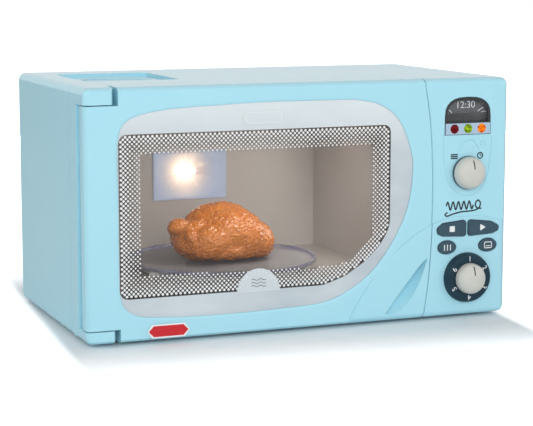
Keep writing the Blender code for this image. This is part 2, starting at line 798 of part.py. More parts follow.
def panel_openings():
    openings = [
        plate("display_recess", [display_outline()], FRONT - OVERRUN, BEZEL_BACK + REST_GAP),
        plate("display_hole", [display_outline(DISPLAY_LEDGE)], FRONT, PANEL_BACK + OVERRUN),
        rod("timer_hole", TIMER, TIMER_STEM_RADIUS + REST_GAP, FRONT - OVERRUN, PANEL_BACK + OVERRUN, "Y"),
        rod("dial_hole", DIAL, DIAL_STEM_RADIUS + REST_GAP, FRONT - OVERRUN, PANEL_BACK + OVERRUN, "Y"),
    ]
    for name, outline in button_outlines().items():
        hole = grown(outline, REST_GAP)
        openings.append(plate(name + "_hole", [hole], FRONT - OVERRUN, PANEL_BACK + OVERRUN))
    return openings


def chassis_posts():
    posts = []
    end = CHASSIS_FRONT - REST_GAP
    for number, place in enumerate(on_front(POST_SHARES)):
        name = "chassis_post_%d" % number
        posts.append(rod(name, place, CHASSIS_POST_RADIUS, PANEL_BACK - OVERRUN, end, "Y", steps=SMALL_STEPS))
    return posts


def front_boss(name, x):
    """Block behind the frame that the case screw bites, and its root on the frame's floor and side."""
    half = CORNER_BOSS / 2
    high = BASE_TOP + CORNER_BOSS_HEIGHT
    side = -1 if x < 0 else 1
    reach = sorted((x - side * half, x + side * (half + SHELL_WALL / 2)))
    block = box(
        name + "_front_boss",
        (x - half + REST_GAP, SEAM - half, BASE_TOP + REST_GAP),
        (x + half - REST_GAP, SEAM + CORNER_BOSS, high),
    )
    root = box(
        name + "_boss_root",
        (reach[0], SEAM - CORNER_BOSS * 0.6, BOTTOM + SHELL_WALL / 2),
        (reach[1], SEAM - OVERRUN, high - OVERRUN),
    )
    return block, root


def screw_bore(name, x, y):
    high = BOTTOM + SCREW_HEAD_HEIGHT + SCREW_LENGTH + REST_GAP
    return rod(name, (x, y), SCREW_RADIUS + SHAFT_GAP, BOTTOM, high, steps=BORE_STEPS)


def foot_places():
    """Front feet sit under the moulding, and back feet under the base plate."""
    return [(at_width(u), at_depth(v)) for u, v in FRONT_FOOT_SHARES + BACK_FOOT_SHARES]


def foot_bore(name, x, y):
    return rod(name, (x, y), FOOT_STEM_RADIUS + SHAFT_GAP, 0.0, BASE_TOP + OVERRUN, steps=BORE_STEPS)


def pin_spans():
    """Name, low end and high end of each hinge pin, which reaches into its lug and into the door."""
    in_door = PIN_LENGTH / 2
    top_low = TOP - TOP_LUG_HEIGHT - DOOR_GAP - in_door
    bottom_high = BOTTOM + BOTTOM_LUG_HEIGHT + DOOR_GAP + in_door
    return [
        ("top", top_low, TOP - 0.2 * TOP_LUG_HEIGHT),
        ("bottom", BOTTOM + 0.2 * BOTTOM_LUG_HEIGHT, bottom_high),
    ]


def pin_bore(name, low, high):
    return rod(name, PIVOT, PIN_RADIUS + SHAFT_GAP, low - REST_GAP, high + REST_GAP, steps=BORE_STEPS)


def rear_shell():
    low = (LEFT - OVERRUN, SEAM + REST_GAP, BOTTOM - OVERRUN)
    high = (RIGHT + OVERRUN, BACK + OVERRUN, TOP + OVERRUN)
    shell = case_block("rear_shell", "sky_blue", low, high)
    hollow = box(
        "shell_hollow",
        (LEFT + SHELL_WALL, SEAM - 2 * CASE_EDGE, BOTTOM - 2 * CASE_EDGE),
        (RIGHT - SHELL_WALL, BACK - SHELL_WALL, TOP - SHELL_WALL),
    )
    soften(hollow, CASE_EDGE - SHELL_WALL, EDGE_STEPS)
    pocket = rounded([(at_width(u), at_depth(v)) for u, v in POCKET_SHARES], CASE_EDGE, 4)
    floor = TOP - POCKET_DEPTH
    cut(hollow, plate("pocket_wall", [grown(pocket, SHELL_WALL)], floor - SHELL_WALL, TOP + OVERRUN, "Z"))
    for name, (x, y) in zip(("left", "right"), back_screws()):
        cut(hollow, back_boss(name, x, y))
    cut(shell, hollow, plate("pocket", [pocket], floor, TOP + OVERRUN, "Z"))
    for name, (x, y) in zip(("left", "right"), back_screws()):
        cut(shell, screw_bore(name + "_back_pilot", x, y))
    cut(shell, *back_slots())
    left, right, low, high = battery_limits(BATTERY_WALL + REST_GAP)
    cut(shell, box("battery_opening", (left, BACK - 2 * SHELL_WALL, low), (right, BACK + OVERRUN, high)))


def back_boss(name, x, y):
    half = CORNER_BOSS / 2 + SHELL_WALL
    return box(
        name + "_back_boss",
        (x - half, y - CORNER_BOSS / 2, BASE_TOP + REST_GAP),
        (x + half, BACK, BASE_TOP + CORNER_BOSS_HEIGHT),
    )


def back_slots():
    slots = []
    for name, shares, count, half in (
        ("vent", VENT_SHARES, VENT_SLOTS, SPEAKER_RADIUS),
        ("speaker_slot", SPEAKER_SHARES, SPEAKER_SLOTS, 0.7 * SPEAKER_RADIUS),
    ):
        across = at_width(shares[0])
        for index in range(count):
            up = at_height(shares[1]) + (index - (count - 1) / 2) * SLOT_PITCH
            low = (across - half, BACK - 2 * SHELL_WALL, up - SLOT_HEIGHT / 2)
            high = (across + half, BACK + OVERRUN, up + SLOT_HEIGHT / 2)
            slots.append(box("%s_%d" % (name, index), low, high))
    return slots


def base_plate():
    inset = SHELL_WALL + REST_GAP
    outline = rectangle(LEFT + inset, RIGHT - inset, SEAM + REST_GAP, BACK - inset)
    outline = rounded(outline, CASE_EDGE - SHELL_WALL, EDGE_STEPS)
    base = plate("base_plate", [outline], BOTTOM, BASE_TOP, "Z", "sky_blue")
    around = box("rounded_case", (LEFT, FRONT, BOTTOM), (RIGHT, BACK, TOP))
    trim(base, soften(around, CASE_EDGE, EDGE_STEPS))
    for number, (x, y) in enumerate(front_screws() + back_screws()):
        seat = BOTTOM + SCREW_HEAD_HEIGHT + REST_GAP
        cut(
            base,
            rod("screw_way_%d" % number, (x, y), SCREW_RADIUS + REST_GAP, seat - OVERRUN, BASE_TOP + OVERRUN),
            rod("head_seat_%d" % number, (x, y), SCREW_HEAD_RADIUS + REST_GAP, BOTTOM - OVERRUN, seat),
        )
        screw_name = "case_screw_%d" % (number + 1)
        head_top = BOTTOM + SCREW_HEAD_HEIGHT
        head = rod(screw_name, (x, y), SCREW_HEAD_RADIUS, BOTTOM, head_top, finish="steel", steps=BORE_STEPS)
        shank_end = head_top + SCREW_LENGTH
        shank_start = head_top - SCREW_HEAD_HEIGHT / 2
        join(head, rod(screw_name + "_shank", (x, y), SCREW_RADIUS, shank_start, shank_end, steps=BORE_STEPS))
    for number, (x, y) in enumerate(foot_places()[2:]):
        cut(base, foot_bore("back_foot_bore_%d" % number, x, y))


def feet():
    for name, (x, y) in zip(("front_left", "front_right", "back_left", "back_right"), foot_places()):
        foot = rod("foot_" + name, (x, y), FOOT_RADIUS, 0.0, BOTTOM - REST_GAP, finish="rubber", steps=24)
        stem_end = BASE_TOP + OVERRUN / 2
        join(foot, rod(name + "_stem", (x, y), FOOT_STEM_RADIUS, OVERRUN, stem_end, steps=BORE_STEPS))


def oven_liner():
    wall = LINER_WALL
    left, right = CAVITY["left"], CAVITY["right"]
    front, back = CAVITY["front"], CAVITY["back"]
    low, high = CAVITY["low"], CAVITY["high"]
    liner = box(
        "oven_liner", (left - wall, front, low - wall), (right + wall, back + wall, high + wall), "grey"
    )
    reach = wall + LINER_FLANGE
    flange = rectangle(left - reach, right + reach, low - reach, high + reach)
    join(liner, plate("liner_flange", [flange], front, front + wall))
    cut(
        liner,
        box("liner_space", (left, front - OVERRUN, low), (right, back, high)),
        rod("shaft_way", TURNTABLE, OUTPUT_SHAFT_RADIUS + REST_GAP, low - 2 * wall, low + OVERRUN),
        plate("lamp_way", [lamp_outline(-LINER_WALL)], back - OVERRUN, back + 2 * wall),
    )


def lamp_outline(growth=0.0):
    across, up = at_width(LAMP_SHARES[0]), at_height(LAMP_SHARES[1])
    half_width, half_height = LAMP_WIDTH / 2 + growth, LAMP_HEIGHT / 2 + growth
    return rectangle(across - half_width, across + half_width, up - half_height, up + half_height)


def lamp():
    back = CAVITY["back"]
    face = back - REST_GAP
    cover = plate("lamp_cover", [lamp_outline()], face - LAMP_COVER_THICK, face, finish="clear")
    outer = lamp_outline(-LINER_WALL - REST_GAP)
    rim = plate("lamp_cover_rim", [outer], face - LAMP_COVER_THICK / 2, back + LINER_WALL)
    inside = plate("lamp_cover_space", [grown(outer, -LAMP_COVER_THICK)], face, back + 2 * LINER_WALL)
    cut(join(cover, rim), inside)

    start = back + LINER_WALL + REST_GAP
    end = BACK - SHELL_WALL - REST_GAP
    (left, low), (right, _), (_, high), _ = lamp_outline()
    wall = LAMP_HOUSING_WALL
    housing = box("lamp_housing", (left, start, low), (right, end, high), "white")
    middle_y = (start + end - wall) / 2
    middle_z = (low + high) / 2 + BULB_RADIUS / 2
    bulb_x = (left + right) / 2 - BULB_RADIUS / 2
    neck_end = bulb_x + 2 * BULB_RADIUS
    base_end = neck_end + REST_GAP + BULB_BASE_LENGTH
    holder = box(
        "lamp_holder",
        (base_end - BULB_BASE_LENGTH / 2, start - OVERRUN, middle_z - 2 * BULB_BASE_RADIUS),
        (right, end, middle_z + 2 * BULB_BASE_RADIUS),
    )
    holder_front = box("holder_front", (left, start - 2 * OVERRUN, low), (right, start + 2 * wall, high))
    cut(holder, holder_front)
    hollow = box(
        "housing_space", (left + wall, start - OVERRUN, low + wall), (right - wall, end - wall, high - wall)
    )
    cut(hollow, holder)
    socket = rod(
        "lamp_socket", (middle_y, middle_z), BULB_BASE_RADIUS + REST_GAP, bulb_x, base_end + REST_GAP, "X"
    )
    cut(housing, hollow, socket)

    bulb_size = (1.3 * BULB_RADIUS, BULB_RADIUS, BULB_RADIUS)
    bulb = ball("lamp_bulb", (bulb_x, middle_y, middle_z), bulb_size, "clear")
    neck = rod("bulb_neck", (middle_y, middle_z), 0.6 * BULB_RADIUS, bulb_x, neck_end, "X", steps=SMALL_STEPS)
    join(bulb, neck)
    base_start = neck_end + REST_GAP
    rod("lamp_base", (middle_y, middle_z), BULB_BASE_RADIUS, base_start, base_end, "X", "steel", 20)


def gear_levels():
    """Heights inside the gearbox by share, from the lid's top to the case's roof."""
    low = BASE_TOP + 2 * REST_GAP + GEARBOX_WALL
    high = FLOOR_UNDERSIDE - REST_GAP - GEARBOX_WALL
    return lambda share: low + share * (high - low)


def gearbox():
    level = gear_levels()
    distance = (PINION_TEETH + WHEEL_TEETH) * GEAR_MODULE / 2
    wheel_reach = (WHEEL_TEETH / 2 + 1) * GEAR_MODULE
    middle = (TURNTABLE[0] - distance, TURNTABLE[1])
    drive = (TURNTABLE[0] - 2 * distance, TURNTABLE[1])
    room = 2 * OVERRUN
    inside = rectangle(
        drive[0] - MOTOR_RADIUS - room,
        TURNTABLE[0] + wheel_reach + room,
        TURNTABLE[1] - wheel_reach - room,
        TURNTABLE[1] + wheel_reach + room,
    )
    inside = rounded(inside, CASE_EDGE, 3)
    outside = grown(inside, GEARBOX_WALL)
    lid_low = BASE_TOP + REST_GAP
    lid_high = lid_low + GEARBOX_WALL
    case_low = lid_high + REST_GAP
    case_high = FLOOR_UNDERSIDE - REST_GAP

    lid = plate("gearbox_lid", [outside], lid_low, lid_high, "Z", "white")
    cut(lid, rod("shaft_foot_hole", TURNTABLE, GEAR_AXLE_RADIUS + SHAFT_GAP, 0.0, case_low, steps=BORE_STEPS))
    case = plate("gearbox_case", [outside], case_low, case_high, "Z", "white")
    cut(case, plate("gearbox_space", [inside], case_low - OVERRUN, level(1.0), "Z"))
    bore = OUTPUT_SHAFT_RADIUS + SHAFT_GAP
    cut(case, rod("shaft_hole", TURNTABLE, bore, level(0.5), case_high + OVERRUN))
    join(case, rod("gear_axle", middle, GEAR_AXLE_RADIUS, case_low, level(1.0) + OVERRUN, steps=BORE_STEPS))

    motor = rod("drive_motor", drive, MOTOR_RADIUS, level(0.0) + REST_GAP, level(0.42), finish="steel")
    join(motor, rod("motor_shaft", drive, MOTOR_SHAFT_RADIUS, level(0.3), level(0.88), steps=BORE_STEPS))
    put_origin(motor, (*drive, 0.0))

    teeth = gear_outline(drive, PINION_TEETH, GEAR_MODULE, 0.0)
    pinion = plate("motor_pinion", [teeth], level(0.58), level(0.86), "Z", "white")
    cut(pinion, rod("pinion_bore", drive, MOTOR_SHAFT_RADIUS + SHAFT_GAP, 0.0, TOP, steps=BORE_STEPS))
    put_origin(pinion, (*drive, 0.0))

    first_gap = math.pi + math.pi / WHEEL_TEETH
    teeth = gear_outline(middle, WHEEL_TEETH, GEAR_MODULE, first_gap)
    compound = plate("compound_gear", [teeth], level(0.64), level(0.80), "Z", "white")
    teeth = gear_outline(middle, PINION_TEETH, GEAR_MODULE, 0.0)
    join(compound, plate("compound_pinion", [teeth], level(0.14), level(0.70), "Z"))
    cut(compound, rod("compound_bore", middle, GEAR_AXLE_RADIUS + SHAFT_GAP, 0.0, TOP, steps=BORE_STEPS))
    put_origin(compound, (*middle, 0.0))

    teeth = gear_outline(TURNTABLE, WHEEL_TEETH, GEAR_MODULE, first_gap)
    output = plate("output_gear", [teeth], level(0.18), level(0.42), "Z", "white")
    shaft_top = PLATE_BOTTOM - 2 * REST_GAP
    join(
        output,
        rod("output_shaft", TURNTABLE, OUTPUT_SHAFT_RADIUS, level(0.2), shaft_top),
        rod("output_foot", TURNTABLE, GEAR_AXLE_RADIUS, lid_low + REST_GAP, level(0.3), steps=BORE_STEPS),
    )
    put_origin(output, (*TURNTABLE, 0.0))


def lobes(growth=0.0):
    """Three-lobed outline that the coupler and the socket under the plate share."""
    outline = []
    for step in range(LOBE_STEPS):
        turn = 2 * math.pi * step / LOBE_STEPS
        radius = COUPLER_RADIUS * (1 - LOBE_SHARE * (1 - math.cos(3 * turn))) + growth
        outline.append((TURNTABLE[0] + radius * math.cos(turn), TURNTABLE[1] + radius * math.sin(turn)))
    return outline


def turntable():
    floor = CAVITY["low"]
    coupler = plate("drive_coupler", [lobes()], floor + REST_GAP, PLATE_BOTTOM - REST_GAP, "Z", "white")
    cut(coupler, rod("coupler_bore", TURNTABLE, OUTPUT_SHAFT_RADIUS + SHAFT_GAP, floor, TOP))
    put_origin(coupler, (*TURNTABLE, 0.0))

    rim = PLATE_RIM_HEIGHT
    hub_depth = 0.7 * (PLATE_BOTTOM - floor)
    profile = [
        (0.0, PLATE_THICK),
        (PLATE_RADIUS - PLATE_RIM_WALL - PLATE_THICK, PLATE_THICK),
        (PLATE_RADIUS - PLATE_RIM_WALL, rim),
        (PLATE_RADIUS, rim),
        (PLATE_RADIUS, PLATE_THICK),
        (PLATE_RADIUS - PLATE_THICK, 0.0),
        (PLATE_HUB_RADIUS, 0.0),
        (PLATE_HUB_RADIUS, -hub_depth),
        (0.0, -hub_depth),
    ]
    dish = turned("turntable_plate", profile, (*TURNTABLE, PLATE_BOTTOM), "clear", FINE_STEPS, 0.0)
    cut(dish, plate("coupler_socket", [lobes(REST_GAP)], floor, PLATE_BOTTOM, "Z"))

    outer_end = PLATE_RADIUS - ROLLER_SETBACK
    inner_end = outer_end - ROLLER_LENGTH
    ring_outer = inner_end - 2 * REST_GAP
    axle_height = floor + REST_GAP + ROLLER_RADIUS
    ring = plate(
        "roller_ring",
        [
            ring_points(TURNTABLE, ring_outer, FINE_STEPS),
            ring_points(TURNTABLE, ring_outer - RING_WIDTH, FINE_STEPS),
        ],
        floor + 2 * REST_GAP,
        floor + 2 * REST_GAP + RING_THICK,
        "Z",
        "white",
    )
    for number in range(ROLLERS):
        turn = ROLLER_START + 2 * math.pi * number / ROLLERS
        axle = rod(
            "roller_axle_%d" % (number + 1),
            (0.0, axle_height),
            ROLLER_AXLE_RADIUS,
            ring_outer - RING_WIDTH / 2,
            outer_end + REST_GAP,
            "X",
            steps=SMALL_STEPS,
        )
        join(ring, set_around(axle, turn))
        roller = plate(
            "roller_%d" % (number + 1),
            [
                ring_points((0.0, axle_height), ROLLER_RADIUS, 20),
                ring_points((0.0, axle_height), ROLLER_AXLE_RADIUS + SHAFT_GAP, 12),
            ],
            inner_end,
            outer_end,
            "X",
            "white",
        )
        set_around(roller, turn)
        middle = (inner_end + outer_end) / 2
        place = (TURNTABLE[0] + middle * math.cos(turn), TURNTABLE[1] + middle * math.sin(turn), axle_height)
        put_origin(roller, place)
    put_origin(ring, (*TURNTABLE, 0.0))


def set_around(obj, turn):
    """Turns a shape that lies along X about the origin, and moves it to the turntable's axis."""
    obj.data.transform(Matrix.Rotation(turn, 4, "Z"))
    obj.data.transform(Matrix.Translation((*TURNTABLE, 0.0)))
    return obj


def roast_chicken():
    """Rounded body lofted through rings, with thighs, leg ends and wings."""
    left = TURNTABLE[0] - CHICKEN_LENGTH / 2
    base = PLATE_BOTTOM + PLATE_THICK + REST_GAP

    def place(along, side, up):
        across = left + along * CHICKEN_LENGTH
        return across, TURNTABLE[1] + side * CHICKEN_WIDTH, base + up * CHICKEN_HEIGHT

    shape = bmesh.new()
    rings = []
    for along, half, low, high in ROAST_SHARES:
        ring = []
        for step in range(ROAST_STEPS):
            turn = 2 * math.pi * step / ROAST_STEPS
            side = half * math.cos(turn)
            up = (low + high) / 2 + (high - low) / 2 * math.sin(turn)
            ring.append(shape.verts.new(place(along, side, up)))
        rings.append(ring)
    for ring, onward in zip(rings, rings[1:]):
        for step in range(ROAST_STEPS):
            following = (step + 1) % ROAST_STEPS
            shape.faces.new((ring[step], ring[following], onward[following], onward[step]))
    shape.faces.new(rings[0])
    shape.faces.new(rings[-1])
    bmesh.ops.recalc_face_normals(shape, faces=shape.faces)
    body = mesh_object("roast_chicken", shape, "roast")

    def lump(name, middle, size):
        across, deep, high = size
        sizes = (across * CHICKEN_LENGTH, deep * CHICKEN_WIDTH, high * CHICKEN_HEIGHT)
        return ball(name, place(*middle), sizes)

    for name, side in (("near", -1), ("far", 1)):
        join(
            body,
            lump(name + "_thigh", (0.30, 0.33 * side, 0.42), (0.20, 0.15, 0.27)),
            lump(name + "_leg_end", (0.085, 0.17 * side, 0.62), (0.085, 0.11, 0.19)),
            lump(name + "_wing", (0.70, 0.41 * side, 0.50), (0.15, 0.09, 0.15)),
        )
    put_origin(body, place(0.5, 0.0, 0.0))


def door():
    outline = door_outline(DOOR_GAP)
    rear = FRONT + DOOR_THICK
    frame = box("door_frame", (LEFT, FRONT, BOTTOM), (RIGHT, BACK, TOP), "sky_blue")
    soften(frame, CASE_EDGE, EDGE_STEPS)
    trim(frame, plate("door_extent", [outline], FRONT - OVERRUN, rear))
    hollow = plate("door_hollow", [door_hollow_outline()], FRONT + DOOR_WALL, rear + OVERRUN)
    cut(hollow, plate("scoop_pad", [scoop_pad_outline()], FRONT, FRONT + SCOOP_DEPTH + SCOOP_WALL))
    window = window_outline()
    pane_front = STEPPED_FACE + WINDOW_SET
    rebate = grown(window, WINDOW_LAP + REST_GAP)
    rebate = plate("window_rebate", [rebate], pane_front - REST_GAP, FRONT + DOOR_WALL + OVERRUN)
    cut(frame, WAVE, window_aperture(window), scoop_cutter(), hollow, rebate, hinge_corner())
    for name, low, high in pin_spans():
        cut(frame, pin_bore(name + "_door_bore", low, high))
        pin = rod("hinge_pin_" + name, PIVOT, PIN_RADIUS, low, high, finish="steel", steps=BORE_STEPS)
        put_origin(pin, (*PIVOT, low))

    pane_back = pane_front + WINDOW_THICK
    pane = plate("door_window", [grown(window, WINDOW_LAP)], pane_front, pane_back, finish="clear")

    inner_front = rear - INNER_FRAME_THICK - REST_GAP
    inner_back = rear - REST_GAP
    rim_inside = grown(window, OVERRUN)
    rim_outside = grown(window, WINDOW_LAP)
    rim_middle = grown(window, (OVERRUN + WINDOW_LAP) / 2)
    inner = plate(
        "door_inner_frame",
        [grown(door_hollow_outline(), -REST_GAP), rim_middle],
        inner_front,
        inner_back,
        finish="sky_blue",
    )
    rim = plate("window_rim", [rim_outside, rim_inside], pane_back + REST_GAP, inner_back - REST_GAP)
    join(inner, rim)

    across, up = catch_place()
    catch = box(
        "door_catch",
        (across - CATCH_WIDTH / 2, rear, up - CATCH_HEIGHT / 2),
        (across + CATCH_WIDTH / 2, rear + CATCH_REACH, up + CATCH_HEIGHT / 2),
        "white",
    )
    soften(catch, CATCH_WIDTH / 5)
    for piece in (frame, pane, inner, catch):
        put_origin(piece, (*PIVOT, 0.0))


def window_aperture(window):
    """Opening with a slope down to the window, widest at the lower right."""
    lip = []
    toward = Vector((1, -0.4)).normalized()
    for inner, outer in zip(window, grown(window, LIP_WIDTH)):
        way = Vector(outer) - Vector(inner)
        spread = 1 + LIP_SPREAD_SHARE * max(0, way.normalized().dot(toward))
        lip.append(tuple(Vector(inner) + way * spread))
    beyond = [tuple(2 * Vector(outer) - Vector(inner)) for inner, outer in zip(window, lip)]
    near = STEPPED_FACE - LIP_DEPTH
    far = FRONT + DOOR_WALL + OVERRUN
    return lofted("window_aperture", [(beyond, near), (window, STEPPED_FACE + LIP_DEPTH), (window, far)])


def lofted(name, sections):
    """Closed body through outlines of equal length, each at its own distance from the front."""
    shape = bmesh.new()
    rings = [[shape.verts.new((across, y, up)) for across, up in outline] for outline, y in sections]
    count = len(rings[0])
    for ring, onward in zip(rings, rings[1:]):
        for step in range(count):
            following = (step + 1) % count
            shape.faces.new((ring[step], ring[following], onward[following], onward[step]))
    shape.faces.new(rings[0])
    shape.faces.new(rings[-1])
    bmesh.ops.recalc_face_normals(shape, faces=shape.faces)
    return mesh_object(name, shape, None)


def door_hollow_outline():
    low = BOTTOM + DOOR_WALL
    high = TOP - DOOR_WALL
    post = LEFT + HINGE_POST_WIDTH
    notch = NOTCH_EDGE + DOOR_WALL
    notch_low = BOTTOM + BOTTOM_LUG_HEIGHT + DOOR_GAP + DOOR_WALL
    notch_high = TOP - TOP_LUG_HEIGHT - DOOR_GAP - DOOR_WALL
    seam = [(across - DOOR_GAP - DOOR_WALL, up) for across, up in seam_line()]
    inside = [(across, up) for across, up in seam if low < up < high]
    return (
        [(post, notch_low), (notch, notch_low), (notch, low), (inside[0][0], low)]
        + inside
        + [(inside[-1][0], high), (notch, high), (notch, notch_high), (post, notch_high)]
    )


def scoop_pad_outline():
    """Solid backing of the finger hollow, from its left edge over to the door's right edge."""
    left = [(across - SCOOP_WALL, up) for across, up in on_front(SCOOP_LEFT_SHARES)[:-1]]
    high = at_height(SCOOP_LEFT_SHARES[-1][1]) + SCOOP_PAD_RISE
    return [(left[0][0], BOTTOM), (SEAM_RIGHT, BOTTOM), (SEAM_RIGHT, high)] + left[::-1]


def hinge_corner():
    """Rounds the door's rear left edge about the hinge axis, so that it clears the frame."""
    radius = DOOR_THICK / 2
    rear = PIVOT[1] + radius
    outline = arc_points(PIVOT, radius, 90, 180, 8)
    outline += [(LEFT - OVERRUN, PIVOT[1]), (LEFT - OVERRUN, rear + OVERRUN), (PIVOT[0], rear + OVERRUN)]
    return plate("hinge_corner", [outline], BOTTOM - OVERRUN, TOP + OVERRUN, "Z")


def scoop_cutter():
    """Leaf-shaped hollow for the fingers, deep along its left edge and shallow to the right."""
    left = smooth(on_front(SCOOP_LEFT_SHARES))
    right = smooth(on_front(SCOOP_RIGHT_SHARES))
    shape = bmesh.new()
    near = FRONT - OVERRUN
    tips = [shape.verts.new((point[0], near, point[1])) for point in (left[0], left[-1])]
    rails = []
    count = len(left) - 1
    for index in range(1, count):
        depth = SCOOP_DEPTH * math.sin(math.pi * index / count) ** 0.7
        start = Vector(left[index])
        width = Vector(right[index]) - start
        rail = []
        for along, sunk in SCOOP_SECTION_SHARES:
            across, up = start + along * width
            rail.append(shape.verts.new((across, FRONT + sunk * depth if sunk else near, up)))
        rails.append(rail)
    sides = len(SCOOP_SECTION_SHARES)
    for here, onward in zip(rails, rails[1:]):
        for side in range(sides):
            following = (side + 1) % sides
            shape.faces.new((here[side], here[following], onward[following], onward[side]))
    for tip, rail in ((tips[0], rails[0]), (tips[1], rails[-1])):
        for side in range(sides):
            shape.faces.new((tip, rail[side], rail[(side + 1) % sides]))
    bmesh.ops.recalc_face_normals(shape, faces=shape.faces)
    return mesh_object("finger_scoop", shape, None)


def display():
    centre = at_width(CONTROL_SHARE)
    base = at_height(DISPLAY_SHARE)
    strip_low = base + BEZEL_RIM / 3
    strip_high = strip_low + 2 * GEM_RADIUS + BEZEL_RIM / 2
    half = DISPLAY_WIDTH / 2 - BEZEL_RIM
    window_low = strip_high + BEZEL_RIM / 2
    arch = [point for point in display_outline(BEZEL_RIM) if point[1] > window_low]
    view = [(centre - half, window_low), (centre + half, window_low)] + arch
    plate("display_bezel", [display_outline(REST_GAP), view], BEZEL_FRONT, BEZEL_BACK, finish="dark")
    pane = display_outline(DISPLAY_LEDGE + REST_GAP)
    plate("display_window", [pane], BEZEL_BACK + REST_GAP, PANEL_BACK, finish="clear")

    gem_up = (strip_low + strip_high) / 2
    pitch = 2 * half / 3
    places = {"gem_red": centre - pitch, "gem_green": centre, "gem_orange": centre + pitch}
    holes = [ring_points((across, gem_up), GEM_RADIUS + REST_GAP, 16) for across in places.values()]
    strip = rectangle(centre - half, centre + half, strip_low, strip_high)
    strip_back = BEZEL_FRONT - REST_GAP
    plate("gem_strip", [strip] + holes, strip_back - BEZEL_THICK / 2, strip_back, finish="silver")
    for name, across in places.items():
        rod(
            name, (across, gem_up), 0.55 * GEM_RADIUS, strip_back - GEM_HEIGHT, strip_back, "Y",
            name.removeprefix("gem_"), 10, GEM_RADIUS,
        )


def countdown():
    """Wheel of cooking times behind the display, turned by a gear on the timer's stem."""
    module = 2 * (COUNTDOWN[1] - TIMER[1]) / (COUNTDOWN_TEETH + TIMER_TEETH)
    disc_front = GEAR_FRONT - COUNTDOWN_DISC_THICK
    radius = COUNTDOWN_RADIUS
    wheel = rod("countdown_wheel", COUNTDOWN, radius, disc_front, GEAR_FRONT, "Y", "white", FINE_STEPS)
    teeth = gear_outline(COUNTDOWN, COUNTDOWN_TEETH, module, math.pi / COUNTDOWN_TEETH - math.pi / 2)
    middle = (disc_front + GEAR_FRONT) / 2
    join(wheel, plate("countdown_teeth", [teeth], middle, GEAR_BACK))
    cut(wheel, panel_bore("countdown_bore", COUNTDOWN, AXLE_POST_RADIUS))
    put_origin(wheel, (COUNTDOWN[0], GEAR_FRONT, COUNTDOWN[1]))

    gear = plate(
        "timer_gear",
        [gear_outline(TIMER, TIMER_TEETH, module, math.pi / 2)],
        GEAR_FRONT + REST_GAP,
        GEAR_BACK,
        finish="white",
    )
    cut(gear, panel_bore("timer_gear_bore", TIMER, TIMER_STEM_RADIUS))
    put_origin(gear, (TIMER[0], GEAR_FRONT, TIMER[1]))


def panel_bore(name, place, radius):
    """Bore for a stem or a post, right through the wheels behind the panel."""
    return rod(name, place, radius + SHAFT_GAP, FRONT, GEAR_BACK + OVERRUN, "Y", steps=BORE_STEPS)


def dome_profile(radius, height):
    """Knob with a slightly tapered side and a domed face, from the top down."""
    profile = [(0.0, height)]
    for step in range(1, 6):
        turn = math.radians(18 * step)
        profile.append((0.93 * radius * math.sin(turn), height * (0.72 + 0.28 * math.cos(turn))))
    return profile + [(radius, 0.0), (0.0, 0.0)]


def timer_knob():
    back = STEPPED_FACE - REST_GAP
    knob = turned(
        "timer_knob", dome_profile(TIMER_KNOB_RADIUS, TIMER_KNOB_HEIGHT), (TIMER[0], back, TIMER[1]), "cream"
    )
    stem_end = CHASSIS_FRONT + CHASSIS_THICK
    join(knob, rod("timer_stem", TIMER, TIMER_STEM_RADIUS, back - OVERRUN, stem_end, "Y", steps=BORE_STEPS))


def power_dial():
    back = FRONT - REST_GAP
    profile = [
        (0.0, DIAL_HEIGHT),
        (DIAL_FACE_RADIUS, DIAL_HEIGHT),
        (DIAL_RADIUS, DIAL_HEIGHT / 4),
        (DIAL_RADIUS, 0.0),
        (0.0, 0.0),
    ]
    dial = turned("power_dial", profile, (DIAL[0], back, DIAL[1]), "slate", FINE_STEPS)
    stem_end = CHASSIS_FRONT + CHASSIS_THICK
    join(dial, rod("dial_stem", DIAL, DIAL_STEM_RADIUS, back - OVERRUN, stem_end, "Y", steps=BORE_STEPS))
    cap_back = back - DIAL_HEIGHT - REST_GAP
    turned("power_cap", dome_profile(CAP_RADIUS, CAP_HEIGHT), (DIAL[0], cap_back, DIAL[1]), "cream")

    outline = []
    for step in range(DETENT_STEPS * DETENT_NOTCHES):
        turn = 2 * math.pi * step / (DETENT_STEPS * DETENT_NOTCHES)
        radius = DETENT_RADIUS - DETENT_NOTCH_RADIUS * (1 + math.cos(DETENT_NOTCHES * turn)) / 2
        outline.append((DIAL[0] + radius * math.cos(turn), DIAL[1] + radius * math.sin(turn)))
    wheel = plate("detent_wheel", [outline], GEAR_FRONT, GEAR_BACK, finish="white")
    cut(wheel, panel_bore("detent_bore", DIAL, DIAL_STEM_RADIUS))
    put_origin(wheel, (DIAL[0], GEAR_FRONT, DIAL[1]))
    detent_spring()


def detent_spring():
    """Leaf whose bump lies in a notch, standing on a foot at the chassis."""
    tip = DIAL[0] + DETENT_RADIUS - DETENT_NOTCH_RADIUS + REST_GAP
    near = DIAL[0] + DETENT_RADIUS + REST_GAP
    far = near + LEAF_THICK
    bump = DETENT_NOTCH_RADIUS
    low = DIAL[1] - DETENT_RADIUS
    high = DIAL[1] + DETENT_RADIUS
    outline = [
        (near, low), (far, low), (far, DIAL[1] - bump), (tip + LEAF_THICK, DIAL[1]), (far, DIAL[1] + bump),
        (far, high), (near, high), (near, DIAL[1] + bump), (tip, DIAL[1]), (near, DIAL[1] - bump),
    ]
    leaf = plate("detent_spring", [outline], GEAR_FRONT, GEAR_BACK, finish="steel")
    foot_high = low + DETENT_RADIUS / 3
    foot = box(
        "spring_foot",
        (near, GEAR_BACK - OVERRUN, low),
        (far, CHASSIS_FRONT - REST_GAP, foot_high),
    )
    join(leaf, foot)


